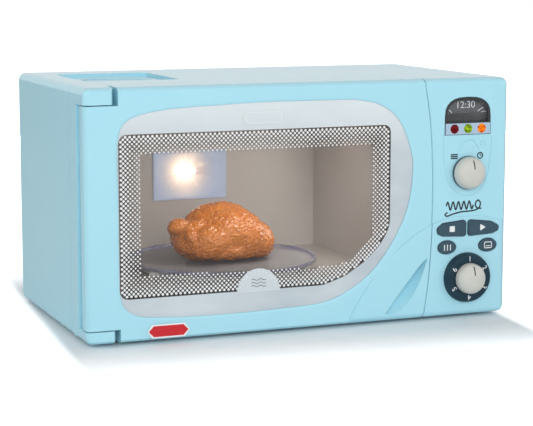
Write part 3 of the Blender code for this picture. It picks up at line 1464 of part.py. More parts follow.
def buttons():
    domes = []
    for name, outline in button_outlines().items():
        button = plate(name, [outline], FRONT - BUTTON_PROUD, PANEL_BACK + 2 * REST_GAP, finish="slate")
        flange = plate(
            name + "_flange", [grown(outline, REST_GAP + BUTTON_FLANGE)], PANEL_BACK + REST_GAP, FLANGE_BACK
        )
        middle = middle_of_outline(outline)
        stem_start = FLANGE_BACK - BUTTON_FLANGE_THICK / 2
        stem = rod(name + "_stem", middle, BUTTON_STEM_RADIUS, stem_start, STEM_END, "Y", steps=SMALL_STEPS)
        join(button, flange, stem)
        put_origin(button, (middle[0], FRONT, middle[1]))
        dome_front = KEYPAD_FRONT - DOME_HEIGHT
        dome_root = KEYPAD_FRONT + KEYPAD_THICK / 2
        domes.append(
            rod(
                name + "_dome", middle, BUTTON_STEM_RADIUS, dome_front, dome_root, "Y",
                steps=SMALL_STEPS, end_radius=1.6 * BUTTON_STEM_RADIUS,
            )
        )
    centre = at_width(CONTROL_SHARE)
    half = centre - SEAM_RIGHT - SHELL_WALL - OVERRUN
    low = at_height(BUTTON_SHARE) - BUTTON_HEIGHT - OVERRUN
    high = at_height(BUTTON_SHARE) + 1.2 * BUTTON_HEIGHT
    sheet = rectangle(centre - half, centre + half, low, high)
    keypad = plate("button_keypad", [sheet], KEYPAD_FRONT, KEYPAD_FRONT + KEYPAD_THICK, finish="white")
    join(keypad, *domes)
    plate("switch_board", [sheet], BOARD_FRONT, BOARD_FRONT + BOARD_THICK, finish="board")


def control_chassis():
    left = SEAM_RIGHT + SHELL_WALL + OVERRUN
    right = RIGHT - SHELL_WALL - OVERRUN
    outline = rectangle(left, right, BOTTOM + 2 * SHELL_WALL, COUNTDOWN[1] + COUNTDOWN_RADIUS / 2)
    chassis = plate(
        "control_chassis", [outline], CHASSIS_FRONT, CHASSIS_FRONT + CHASSIS_THICK, finish="white"
    )
    axle_front = GEAR_FRONT - COUNTDOWN_DISC_THICK
    axle_end = CHASSIS_FRONT + CHASSIS_THICK / 2
    axle = rod("countdown_axle", COUNTDOWN, AXLE_POST_RADIUS, axle_front, axle_end, "Y", steps=BORE_STEPS)
    join(chassis, axle)
    for name, place, radius in (("timer", TIMER, TIMER_STEM_RADIUS), ("dial", DIAL, DIAL_STEM_RADIUS)):
        bearing = rod(
            name + "_bearing", place, radius + SHAFT_GAP, CHASSIS_FRONT - OVERRUN,
            CHASSIS_FRONT + 2 * CHASSIS_THICK, "Y", steps=BORE_STEPS,
        )
        cut(chassis, bearing)


def speaker():
    place = (at_width(SPEAKER_SHARES[0]), at_height(SPEAKER_SHARES[1]))
    back = BACK - SHELL_WALL - REST_GAP
    cone = rod("speaker", place, SPEAKER_RADIUS, back - 0.3 * SPEAKER_DEPTH, back, "Y", "dark")
    magnet = rod(
        "speaker_magnet", place, 0.5 * SPEAKER_RADIUS, back - SPEAKER_DEPTH, back - 0.2 * SPEAKER_DEPTH, "Y"
    )
    join(cone, magnet)


def battery_limits(growth=0.0):
    """Left, right, low and high limits of the space for two cells, one above the other."""
    across, up = at_width(BATTERY_SHARES[0]), at_height(BATTERY_SHARES[1])
    half_width = (CELL_LENGTH + CELL_NIPPLE) / 2 + CELL_ROOM + growth
    half_height = 2 * CELL_RADIUS + 1.5 * CELL_ROOM + growth
    return across - half_width, across + half_width, up - half_height, up + half_height


def batteries():
    rim = BACK - SHELL_WALL - REST_GAP
    floor = rim - 2 * CELL_RADIUS - 2 * CELL_ROOM
    left, right, low, high = battery_limits(BATTERY_WALL)
    case = box("battery_box", (left, floor - BATTERY_WALL, low), (right, rim, high), "dark")
    left, right, low, high = battery_limits()
    cut(case, box("battery_space", (left, floor, low), (right, rim + OVERRUN, high)))
    left, right, low, high = battery_limits(BATTERY_WALL)
    door_front = BACK - SHELL_WALL
    cover = box("battery_door", (left, door_front, low), (right, BACK, high), "sky_blue")
    put_origin(cover, ((left + right) / 2, door_front, (low + high) / 2))
    place = at_width(BATTERY_SHARES[0])
    middle_y = floor + CELL_ROOM + CELL_RADIUS
    for number, side in enumerate((-1, 1)):
        up = at_height(BATTERY_SHARES[1]) + side * (CELL_RADIUS + CELL_ROOM / 2)
        start = place - (CELL_LENGTH + CELL_NIPPLE) / 2
        end = start + CELL_LENGTH
        cell = rod("cell_%d" % (number + 1), (middle_y, up), CELL_RADIUS, start, end, "X", "cell", 20)
        tip = end + CELL_NIPPLE
        name = "nipple_%d" % (number + 1)
        join(cell, rod(name, (middle_y, up), 0.38 * CELL_RADIUS, end - OVERRUN, tip, "X", steps=SMALL_STEPS))


WAVE = wave_cutter()
front_moulding()
rear_shell()
base_plate()
feet()
oven_liner()
lamp()
gearbox()
turntable()
roast_chicken()
door()
display()
countdown()
timer_knob()
power_dial()
buttons()
control_chassis()
speaker()
batteries()
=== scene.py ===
import json
import math

import bmesh
import bpy
from mathutils import Matrix, Vector, noise
from mathutils.geometry import tessellate_polygon

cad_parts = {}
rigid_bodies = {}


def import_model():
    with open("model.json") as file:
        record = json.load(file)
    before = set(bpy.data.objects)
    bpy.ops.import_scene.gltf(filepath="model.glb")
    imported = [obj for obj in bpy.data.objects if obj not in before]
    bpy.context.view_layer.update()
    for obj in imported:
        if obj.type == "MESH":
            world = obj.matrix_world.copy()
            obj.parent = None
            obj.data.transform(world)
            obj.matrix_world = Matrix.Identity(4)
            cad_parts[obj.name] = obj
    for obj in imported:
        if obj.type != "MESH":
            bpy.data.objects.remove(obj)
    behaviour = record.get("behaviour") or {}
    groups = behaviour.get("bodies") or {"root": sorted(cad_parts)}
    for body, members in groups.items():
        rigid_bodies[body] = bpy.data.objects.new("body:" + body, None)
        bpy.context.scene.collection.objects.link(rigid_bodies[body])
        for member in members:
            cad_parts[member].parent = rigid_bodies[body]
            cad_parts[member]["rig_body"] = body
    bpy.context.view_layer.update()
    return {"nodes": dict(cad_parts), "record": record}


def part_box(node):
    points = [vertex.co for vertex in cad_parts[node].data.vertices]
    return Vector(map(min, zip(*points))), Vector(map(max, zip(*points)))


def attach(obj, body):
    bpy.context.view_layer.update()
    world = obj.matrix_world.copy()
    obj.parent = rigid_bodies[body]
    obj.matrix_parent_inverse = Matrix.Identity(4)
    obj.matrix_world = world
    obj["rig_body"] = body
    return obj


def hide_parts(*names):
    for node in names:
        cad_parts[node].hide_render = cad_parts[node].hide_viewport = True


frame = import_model()
scene = bpy.context.scene
mm = 0.001
print("frame loaded")


# Nodes and materials

def toLinear(hexColour):
    values = [int(hexColour[i:i + 2], 16) / 255 for i in (1, 3, 5)]
    return [v / 12.92 if v <= 0.04045 else ((v + 0.055) / 1.055) ** 2.4 for v in values] + [1.0]


def addNode(tree, kind, settings=None, links=None):
    node = tree.nodes.new(kind)
    for key, value in (settings or {}).items():
        if isinstance(key, int) or key in node.inputs:
            node.inputs[key].default_value = value
        else:
            setattr(node, key, value)
    for key, source in (links or {}).items():
        tree.links.new(source, node.inputs[key])
    return node


def newMaterial(name, **sockets):
    # returns the tree, its shader and the object's own coordinates
    material = bpy.data.materials.new(name)
    material.use_nodes = True
    tree = material.node_tree
    shader = tree.nodes["Principled BSDF"]
    for key, value in sockets.items():
        shader.inputs[key.replace("_", " ")].default_value = value
    place = addNode(tree, "ShaderNodeTexCoord").outputs["Object"]
    return material, tree, shader, place


def wire(tree, shader, **sources):
    # links each source to the shader's socket of that name
    for key, source in sources.items():
        tree.links.new(source, shader.inputs[key.replace("_", " ")])


def clouded(tree, place, size, first, second, detail=2.0):
    # two colours clouded into each other, with clouds of this size in mm
    cloud = addNode(tree, "ShaderNodeTexNoise", {"Scale": 1 / (size * mm), "Detail": detail}, {"Vector": place})
    return addNode(tree, "ShaderNodeMix", {"data_type": "RGBA", 6: toLinear(first), 7: toLinear(second)},
                   {0: cloud.outputs["Fac"]}).outputs[2]


def mouldedPlastic(name, light, dark, roughness, cloudSize, grainSize, relief, softEdge=0.0, mirror=0.5):
    # light and dark are the two ends of the melt's faint clouding; the grain is the skin's; sizes are in mm
    material, tree, shader, place = newMaterial(name, Specular_IOR_Level=mirror)
    tint = clouded(tree, place, cloudSize, dark, light, 3.0)
    skin = addNode(tree, "ShaderNodeTexNoise", {"Scale": 1 / (grainSize * mm), "Detail": 2.0}, {"Vector": place})
    gloss = addNode(tree, "ShaderNodeMapRange", {"To Min": roughness - 0.05, "To Max": roughness + 0.05},
                    {"Value": skin.outputs["Fac"]})
    bump = addNode(tree, "ShaderNodeBump", {"Strength": relief, "Distance": 0.05 * mm},
                   {"Height": skin.outputs["Fac"]})
    if softEdge:
        edge = addNode(tree, "ShaderNodeBevel", {"samples": 4, "Radius": softEdge * mm})
        tree.links.new(edge.outputs["Normal"], bump.inputs["Normal"])
    wire(tree, shader, Base_Color=tint, Roughness=gloss.outputs["Result"], Normal=bump.outputs["Normal"])
    return material


# injection-moulded ABS, semi-gloss: even colour, a soft skin that breaks up the highlights
blueAbs = mouldedPlastic("pale_blue_abs", "#ACDFEC", "#A6DAEA", 0.22, 60, 0.9, 0.06, softEdge=0.5)
creamAbs = mouldedPlastic("cream_abs", "#CFCEC7", "#C6C5BD", 0.26, 8, 0.5, 0.06)
slateAbs = mouldedPlastic("slate_abs", "#34505F", "#2C4553", 0.30, 7, 0.5, 0.10)
liner = mouldedPlastic("grey_polypropylene", "#C6C0BA", "#BCB6B0", 0.36, 45, 1.1, 0.12)
whiteAbs = mouldedPlastic("white_acetal", "#E9E9E6", "#DEDEDA", 0.38, 10, 0.6, 0.10)
darkAbs = mouldedPlastic("black_abs", "#2E3034", "#26282B", 0.34, 9, 0.5, 0.12)
rubber = mouldedPlastic("black_rubber", "#26262A", "#1C1C1E", 0.72, 6, 0.4, 0.45)
silverAbs = mouldedPlastic("silver_lacquer", "#B4CADE", "#9DB7CD", 0.26, 1.2, 0.4, 0.08)
cellWrap = mouldedPlastic("printed_cell_wrap", "#8E6F2C", "#6E5520", 0.30, 12, 0.4, 0.05)


def brushedSteel():
    # nickel-plated steel, drawn or turned: fine lines that stretch the highlight
    material, tree, shader, place = newMaterial("plated_steel", Metallic=1.0)
    lines = addNode(tree, "ShaderNodeMapping", {"Scale": (3000, 3000, 200)}, {"Vector": place})
    grain = addNode(tree, "ShaderNodeTexNoise", {"Scale": 1.0, "Detail": 2.0}, {"Vector": lines.outputs["Vector"]})
    tint = addNode(tree, "ShaderNodeMix", {"data_type": "RGBA", 6: toLinear("#9EA0A4"), 7: toLinear("#C4C6C9")},
                   {0: grain.outputs["Fac"]})
    gloss = addNode(tree, "ShaderNodeMapRange", {"To Min": 0.22, "To Max": 0.40}, {"Value": grain.outputs["Fac"]})
    wire(tree, shader, Base_Color=tint.outputs[2], Roughness=gloss.outputs["Result"])
    return material


def clearStyrene(name, tint, least, most, mirror=0.5):
    # clear moulded polystyrene: thin, so it hardly bends light; it shows where it mirrors at a low angle
    material, tree, shader, place = newMaterial(name, Roughness=0.06, IOR=1.58, Specular_IOR_Level=mirror)
    colour = clouded(tree, place, 14, tint, "#F4F6FA")
    edge = addNode(tree, "ShaderNodeLayerWeight", {"Blend": 0.35})
    shown = addNode(tree, "ShaderNodeMapRange", {"To Min": least, "To Max": most},
                    {"Value": edge.outputs["Fresnel"]})
    wire(tree, shader, Base_Color=colour, Alpha=shown.outputs["Result"])
    return material


def circuitBoard():
    # glass-fibre board under green solder resist: dark green with paler copper tracks showing through
    material, tree, shader, place = newMaterial("solder_resist", Roughness=0.35)
    tracks = addNode(tree, "ShaderNodeTexBrick", {"Scale": 1 / (9 * mm), "Mortar Size": 0.05,
                                                  "Color1": toLinear("#1F5C34"), "Color2": toLinear("#235F39"),
                                                  "Mortar": toLinear("#3E8A55")}, {"Vector": place})
    wire(tree, shader, Base_Color=tracks.outputs["Color"])
    return material


steel = brushedSteel()
clearPane = clearStyrene("clear_styrene", "#AEB8C0", 0.0, 0.5)

finishes = {  # by slot; gems and roast lie hidden under pieces with finishes of their own
    "sky_blue": blueAbs, "cream": creamAbs, "slate": slateAbs, "grey": liner, "white": whiteAbs,
    "dark": darkAbs, "silver": silverAbs, "steel": steel, "clear": clearPane, "rubber": rubber,
    "bulb_glass": clearPane, "red": darkAbs, "green": darkAbs, "orange": darkAbs, "board": circuitBoard(),
    "cell": cellWrap, "roast": darkAbs,
}
for record in frame["record"]["materials"]:
    for obj in frame["nodes"].values():
        for place in obj.material_slots:
            if place.material and place.material.name.split(".")[0] == record["slot"]:
                place.material = finishes[record["slot"]]
print("materials made")


# Shapes

def cornersOf(left, low, right, high):
    return [(left, low), (right, low), (right, high), (left, high)]


def circle(across, up, radius, steps=24, way=1):
    return [(across + radius * math.cos(a), up + radius * math.sin(a))
            for a in (way * 2 * math.pi * k / steps for k in range(steps))]


def middleOf(node):
    # across and up of a node's middle, in mm
    lowest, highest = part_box(node)
    middle = (lowest + highest) / 2 / mm
    return middle[0], middle[2]


def rideOn(obj, body, slot, *nodes):
    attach(obj, body)
    if nodes:
        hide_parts(*nodes)
    return obj


def asObject(name, mesh, material):
    mesh.materials.clear()
    mesh.materials.append(material)
    obj = bpy.data.objects.new(name, mesh)
    scene.collection.objects.link(obj)
    return obj


def asPiece(shape, name, material, angle=35, tidy=True):
    # closes the shape, turns its faces outwards and shades what is round
    bmesh.ops.remove_doubles(shape, verts=shape.verts, dist=0.001 * mm)
    if tidy:
        bmesh.ops.recalc_face_normals(shape, faces=shape.faces)
    mesh = bpy.data.meshes.new(name)
    shape.to_mesh(mesh)
    shape.free()
    if "custom_normal" in mesh.attributes:  # the frame's own shading, which would hide the sharp corners
        mesh.attributes.remove(mesh.attributes["custom_normal"])
    mesh.shade_smooth()
    mesh.set_sharp_from_angle(angle=math.radians(angle))
    return asObject(name, mesh, material)


def softened(obj, width, steps=2, angle=35):
    bevel = obj.modifiers.new("softEdges", "BEVEL")
    bevel.width = width * mm
    bevel.segments = steps
    bevel.limit_method = "ANGLE"
    bevel.angle_limit = math.radians(angle)
    return obj


def settled(obj):
    # the object with its modifiers worked into a plain mesh
    bpy.context.view_layer.update()
    mesh = bpy.data.meshes.new_from_object(obj.evaluated_get(bpy.context.evaluated_depsgraph_get()))
    name = obj.name
    bpy.data.objects.remove(obj)
    return asObject(name, mesh, mesh.materials[0])


def smoothCopy(node, name, material, slot, angle=35):
    source = frame["nodes"][node]
    shape = bmesh.new()
    shape.from_mesh(source.data)
    bmesh.ops.remove_doubles(shape, verts=shape.verts, dist=0.002 * mm)
    bmesh.ops.dissolve_limit(shape, angle_limit=math.radians(0.4), verts=shape.verts, edges=shape.edges)
    obj = asPiece(shape, name, material, angle, tidy=False)
    weighted = obj.modifiers.new("weighted", "WEIGHTED_NORMAL")
    weighted.keep_sharp = True
    weighted.weight = 90
    return rideOn(obj, source["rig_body"], slot, node)


def flow(points, steps=6):
    # a smooth line through the points
    last = len(points) - 1
    path = []
    for index in range(last):
        a, b, c, d = (Vector(points[min(max(index + k, 0), last)]) for k in (-1, 0, 1, 2))
        for step in range(steps):
            s = step / steps
            path.append(0.5 * (2 * b + (c - a) * s + (2 * a - 5 * b + 4 * c - d) * s * s
                               + (3 * b - a - 3 * c + d) * s * s * s))
    path.append(Vector(points[-1]))
    return path


def roundedOutline(corners, radii, steps=6):
    # each corner of a closed outline replaced by an arc
    path = []
    for index, corner in enumerate(corners):
        here = Vector(corner)
        back = (Vector(corners[index - 1]) - here).normalized()
        onward = (Vector(corners[(index + 1) % len(corners)]) - here).normalized()
        radius = radii[index] if isinstance(radii, (list, tuple)) else radii
        half = math.acos(max(-1, min(1, back.dot(onward)))) / 2
        reach = radius / math.tan(half)
        centre = here + (back + onward).normalized() * radius / math.sin(half)
        first = here + back * reach - centre
        last = here + onward * reach - centre
        turn = first.angle_signed(last)
        for step in range(steps + 1):
            path.append(centre + Matrix.Rotation(-turn * step / steps, 2) @ first)
    return path


def slab(outlines, near, far):
    # plate on the front, in mm: outlines hold across and up, near and far are depths; later outlines are holes
    shape = bmesh.new()
    points = [[Vector((p[0], p[1], 0)) for p in outline] for outline in outlines]
    ends = []
    for depth in (near, far):
        ends.append([shape.verts.new((p.x * mm, depth * mm, p.y * mm)) for outline in points for p in outline])
    for a, b, c in tessellate_polygon(points):
        shape.faces.new((ends[0][a], ends[0][b], ends[0][c]))
        shape.faces.new((ends[1][c], ends[1][b], ends[1][a]))
    start = 0
    for outline in points:
        count = len(outline)
        for step in range(count):
            here, onward = start + step, start + (step + 1) % count
            shape.faces.new((ends[0][here], ends[0][onward], ends[1][onward], ends[1][here]))
        start += count
    return shape


def revolved(profile, spot, steps):
    # closed round shape; spot gives the place, in mm, of a radius, a reach along the axis and an angle
    shape = bmesh.new()
    rings = []
    for radius, reach in profile:
        count = steps if radius > 0 else 1
        rings.append([shape.verts.new([c * mm for c in spot(radius, reach, 2 * math.pi * k / steps)])
                      for k in range(count)])
    for here, onward in zip(rings, rings[1:]):
        for k in range(steps):
            corners = [here[k % len(here)], here[(k + 1) % len(here)],
                       onward[(k + 1) % len(onward)], onward[k % len(onward)]]
            face = list(dict.fromkeys(corners))
            if len(face) > 2:
                shape.faces.new(face)
    return shape


def turned(profile, across, up, steps=72):
    # round about a line that runs front to back: (radius, depth) from the front to the back, in mm
    return revolved(profile, lambda r, d, a: (across + r * math.cos(a), d, up + r * math.sin(a)), steps)


def lettering(name, text, size, material, thick=0.1):
    curve = bpy.data.curves.new(name, "FONT")
    curve.body = text
    curve.size = size * mm
    curve.extrude = thick * mm / 2
    curve.align_x = "CENTER"
    curve.align_y = "CENTER"
    curve.materials.append(material)
    obj = bpy.data.objects.new(name, curve)
    scene.collection.objects.link(obj)
    return settled(obj)


def placed(obj, matrix):
    obj.data.transform(matrix)
    obj.data.update()
    return obj


def facing(across, depth, up, turn=0.0):
    # stands a flat shape on the front, turned about its middle
    return (Matrix.Translation((across * mm, depth * mm, up * mm)) @ Matrix.Rotation(math.radians(90), 4, "X")
            @ Matrix.Rotation(math.radians(turn), 4, "Z"))


def line(name, points, radius, material, closed=False, flat=1.0, depth=None):
    # rounded line through points (across, up) at one depth, or (across, depth, up), in mm
    curve = bpy.data.curves.new(name, "CURVE")
    curve.dimensions = "3D"
    curve.bevel_depth = radius * mm
    curve.bevel_resolution = 2
    curve.use_fill_caps = True
    spline = curve.splines.new("POLY")
    spline.points.add(len(points) - 1)
    for target, p in zip(spline.points, points):
        spot = (p[0], depth, p[1]) if depth is not None else p
        target.co = (spot[0] * mm, spot[1] * mm, spot[2] * mm, 1)
    spline.use_cyclic_u = closed
    curve.materials.append(material)
    obj = bpy.data.objects.new(name, curve)
    scene.collection.objects.link(obj)
    obj = settled(obj)
    if flat != 1.0:
        for vertex in obj.data.vertices:
            vertex.co.y = depth * mm + (vertex.co.y - depth * mm) * flat
    obj.data.shade_smooth()
    return obj


def joined(name, objects):
    # several plain meshes with one material each, as one piece
    shape = bmesh.new()
    materials = []
    for obj in objects:
        before = len(shape.faces)
        shape.from_mesh(obj.data)
        shape.faces.ensure_lookup_table()
        material = obj.data.materials[0]
        if material not in materials:
            materials.append(material)
        for face in shape.faces[before:]:
            face.material_index = materials.index(material)
        bpy.data.objects.remove(obj)
    mesh = bpy.data.meshes.new(name)
    shape.to_mesh(mesh)
    shape.free()
    obj = asObject(name, mesh, materials[0])
    for material in materials[1:]:
        mesh.materials.append(material)
    return obj


def growTree(name, sockets):
    # empty Geometry Nodes tree with these named inputs
    tree = bpy.data.node_groups.new(name, "GeometryNodeTree")
    tree.interface.new_socket("Geometry", in_out="INPUT", socket_type="NodeSocketGeometry")
    for label, kind in sockets.items():
        tree.interface.new_socket(label, in_out="INPUT", socket_type=kind)
    tree.interface.new_socket("Geometry", in_out="OUTPUT", socket_type="NodeSocketGeometry")
    return tree, addNode(tree, "NodeGroupInput"), addNode(tree, "NodeGroupOutput")


def inkedEnd(tree, start, end, instances):
    # the instances made real and given the ink that the tree's input names
    real = addNode(tree, "GeometryNodeRealizeInstances", None, {"Geometry": instances})
    inked = addNode(tree, "GeometryNodeSetMaterial", None,
                    {"Geometry": real.outputs["Geometry"], "Material": start.outputs["Ink"]})
    tree.links.new(inked.outputs["Geometry"], end.inputs["Geometry"])


def grown(obj, tree, values):
    modifier = obj.modifiers.new(tree.name, "NODES")
    modifier.node_group = tree
    for item in tree.interface.items_tree:
        if item.in_out == "INPUT" and item.name in values:
            modifier[item.identifier] = values[item.name]
    return settled(obj)


def pointsWith(name, spots, attribute, values):
    # bare points that carry one number each, for a tree to set its pieces on
    mesh = bpy.data.meshes.new(name)
    mesh.from_pydata(spots, [], [])
    mesh.attributes.new(attribute, "FLOAT", "POINT").data.foreach_set("value", values)
    return mesh


# Shells

for node, name in (("front_moulding", "frontMoulding"), ("rear_shell", "rearShell"), ("door_frame", "doorFrame"),
                   ("door_inner_frame", "doorInnerFrame")):
    smoothCopy(node, name, blueAbs, "sky_blue")
smoothCopy("oven_liner", "ovenLiner", liner, "grey")
mouth = {"left": -143.5, "right": 77.98, "low": 32.7, "high": 152.5, "rim": 6.0,
         "corners": (4.0, 0.5), "near": -72.46, "far": -72.22}  # inner edges, rim width and depths, in mm


def mouthRim():
    # the liner's turned-out rim, which lies on the frame behind the door
    outer, inner = (roundedOutline(cornersOf(mouth["left"] - grow, mouth["low"] - grow, mouth["right"] + grow,
                                             mouth["high"] + grow), corner, 5)
                    for grow, corner in zip((mouth["rim"], 0.0), mouth["corners"]))
    rideOn(asPiece(slab([outer, inner[::-1]], mouth["near"], mouth["far"]), "mouthRim", liner), "case", "grey")


mouthRim()
seam = {  # the case's left, width, foot and height in mm, and the gap's line in shares of them
    "case": (-160.1, 320.2, 2.5, 174.0), "knots": [(0.7896, 0.0), (0.8015, 0.15), (0.8104, 0.40), (0.8109, 0.60),
                                                   (0.8039, 0.82), (0.7881, 1.0)],
    "aside": 0.35, "half": 0.17, "low": 4.0, "high": 175.0, "near": -92.0, "far": -90.6,
}


def seamFill():
    # the panel's lip shows pale down in the gap between door and panel
    left, width, foot, height = seam["case"]
    knots = [(left + width * across - seam["aside"], foot + height * up) for across, up in seam["knots"]]
    path = [p for p in flow(knots, 8) if seam["low"] < p[1] < seam["high"]]
    outline = [(x - seam["half"], z) for x, z in path] + [(x + seam["half"], z) for x, z in path[::-1]]
    rideOn(asPiece(slab([outline], seam["near"], seam["far"]), "seamFill", blueAbs), "case", "sky_blue")


seamFill()
pocket = {  # in mm; the ridge's own section is in shares of its half width and its rise
    "across": -105.1, "depth": 14.4, "reach": (29.0, 34.0), "floor": 172.95, "rise": 1.5, "half": 3.0, "steps": 72,
    "section": [(-1.0, 0.0), (-0.8, 0.55), (-0.4, 0.9), (0.0, 1.0), (0.4, 0.9), (0.8, 0.55), (1.0, 0.0)],
}


def pocketRing():
    # a low rounded ridge, moulded as an oval into the floor of the top's pocket
    shape = bmesh.new()
    rows = []
    for k in range(pocket["steps"]):
        a = 2 * math.pi * k / pocket["steps"]
        rows.append([])
        for side, up in pocket["section"]:
            wide, deep = (reach + pocket["half"] * side for reach in pocket["reach"])
            rows[-1].append(shape.verts.new(((pocket["across"] + wide * math.cos(a)) * mm,
                                             (pocket["depth"] + deep * math.sin(a)) * mm,
                                             (pocket["floor"] + pocket["rise"] * up) * mm)))
    for row, after in zip(rows, rows[1:] + rows[:1]):
        for j in range(len(row)):
            i = (j + 1) % len(row)
            shape.faces.new((row[j], after[j], after[i], row[i]))
    rideOn(asPiece(shape, "pocketRing", blueAbs), "case", "sky_blue")


pocketRing()
lid = {"rib": 0.7, "grooves": 5, "pitch": 2.8, "width": 1.3, "height": 13.0, "across": 96.0, "arrow": 5.0}


def batteryDoor():
    # the cells' door, with thumb grooves and an arrow sunk into its outer face
    lowest, highest = (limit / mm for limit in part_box("battery_door"))
    face = highest[1] - lid["rib"]
    outline = cornersOf(lowest[0], lowest[2], highest[0], highest[2])
    middle = (lowest[2] + highest[2]) / 2
    holes = []
    for k in range(lid["grooves"]):
        x = lid["across"] + k * lid["pitch"]
        groove = cornersOf(x, middle - lid["height"] / 2, x + lid["width"], middle + lid["height"] / 2)
        holes.append(roundedOutline(groove, lid["width"] * 0.45, 3)[::-1])
    tip, half = lid["across"] + lid["grooves"] * lid["pitch"] + 3 * lid["arrow"], lid["arrow"] * 0.7
    holes.append([(tip, middle), (tip - lid["arrow"], middle - half), (tip - lid["arrow"], middle + half)])
    plate = asPiece(slab([outline], lowest[1], face - 0.01), "batteryDoor", blueAbs)
    rideOn(plate, "battery_lid", "sky_blue", "battery_door")
    grip = softened(asPiece(slab([outline] + holes, face, highest[1]), "batteryGrip", blueAbs), 0.2)
    rideOn(grip, "battery_lid", "sky_blue")


batteryDoor()
print("shells dressed")


# Window: frosted band, printed dots, plaque and badge

window = {  # in mm: outlines of the dotted band, its depths, and the dots from the outer edge to the inner one
    "outer": [(-136.0, 32.2), (14.0, 32.2), (31.0, 37.5), (47.0, 47.5), (58.5, 58.5), (66.2, 71.0), (66.2, 144.7),
              (-136.0, 144.7)],
    "outerRadii": [6, 22, 20, 20, 14, 20, 5, 6],
    "inner": [(-121.0, 48.5), (7.3, 45.6), (35.1, 48.0), (51.6, 65.5), (51.6, 130.5), (-121.0, 130.5)],
    "innerRadii": [1.5, 14, 12, 4, 1.5, 1.5],
    "front": -89.98, "back": -89.9, "start": (-137.5, 31.0), "spread": (206, 120), "pitch": 3.2,
    "outerDot": 2.0, "innerDot": 1.35, "fade": 11.0, "margins": (0.9, 0.4), "dotHeight": 0.08, "dotSides": 10,
    "shade": 0.62, "lastShade": 0.4, "spokes": 240, "rings": 6, "hub": (-35.0, 88.0), "middle": (-30.0, 90.0),
}


def inside(point, outline):
    x, z = point
    found = False
    for a, b in zip(outline, outline[1:] + outline[:1]):
        if (a[1] > z) != (b[1] > z) and x < (b[0] - a[0]) * (z - a[1]) / (b[1] - a[1]) + a[0]:
            found = not found
    return found


def distanceTo(point, outline):
    here = Vector(point)
    least = 1e9
    for a, b in zip(outline, outline[1:] + outline[:1]):
        way = b - a
        share = max(0, min(1, (here - a).dot(way) / max(way.length_squared, 1e-9)))
        least = min(least, (here - a - way * share).length)
    return least


def frostedInk():
    # frosted pearl-grey ink under clear styrene: soft pale clouds of painted reflection, and painted light that
    # makes it paler towards the top
    material, tree, shader, place = newMaterial("frosted_ink", Coat_Weight=0.6, Coat_Roughness=0.08)
    # painted reflection: pale clouds stretched upright
    paintedReflectionSmear = addNode(tree, "ShaderNodeMapping", {"Scale": (16, 16, 34)}, {"Vector": place})
    cloud = addNode(tree, "ShaderNodeTexNoise", {"Scale": 1.0, "Detail": 3.0}, {"Vector": paintedReflectionSmear.outputs["Vector"]})
    ramp = addNode(tree, "ShaderNodeMapRange", {"From Min": 0.3, "From Max": 0.7}, {"Value": cloud.outputs["Fac"]})
    low = addNode(tree, "ShaderNodeMix", {"data_type": "RGBA", 6: toLinear("#B3BDC4"), 7: toLinear("#CBD4D9")},
                  {0: ramp.outputs["Result"]})
    height = addNode(tree, "ShaderNodeSeparateXYZ", None, {0: place})
    # painted light: the band is paler towards the top
    paintedTopLight = addNode(tree, "ShaderNodeMapRange", {"From Min": 120 * mm, "From Max": 160 * mm, "To Max": 0.75},
                    {"Value": height.outputs["Z"]})
    tint = addNode(tree, "ShaderNodeMix", {"data_type": "RGBA", 7: toLinear("#DFE6E8")},
                   {0: paintedTopLight.outputs["Result"], 6: low.outputs[2]})
    grain = addNode(tree, "ShaderNodeTexNoise", {"Scale": 1 / (0.6 * mm)}, {"Vector": place})
    gloss = addNode(tree, "ShaderNodeMapRange", {"To Min": 0.35, "To Max": 0.5}, {"Value": grain.outputs["Fac"]})
    wire(tree, shader, Base_Color=tint.outputs[2], Roughness=gloss.outputs["Result"])
    return material


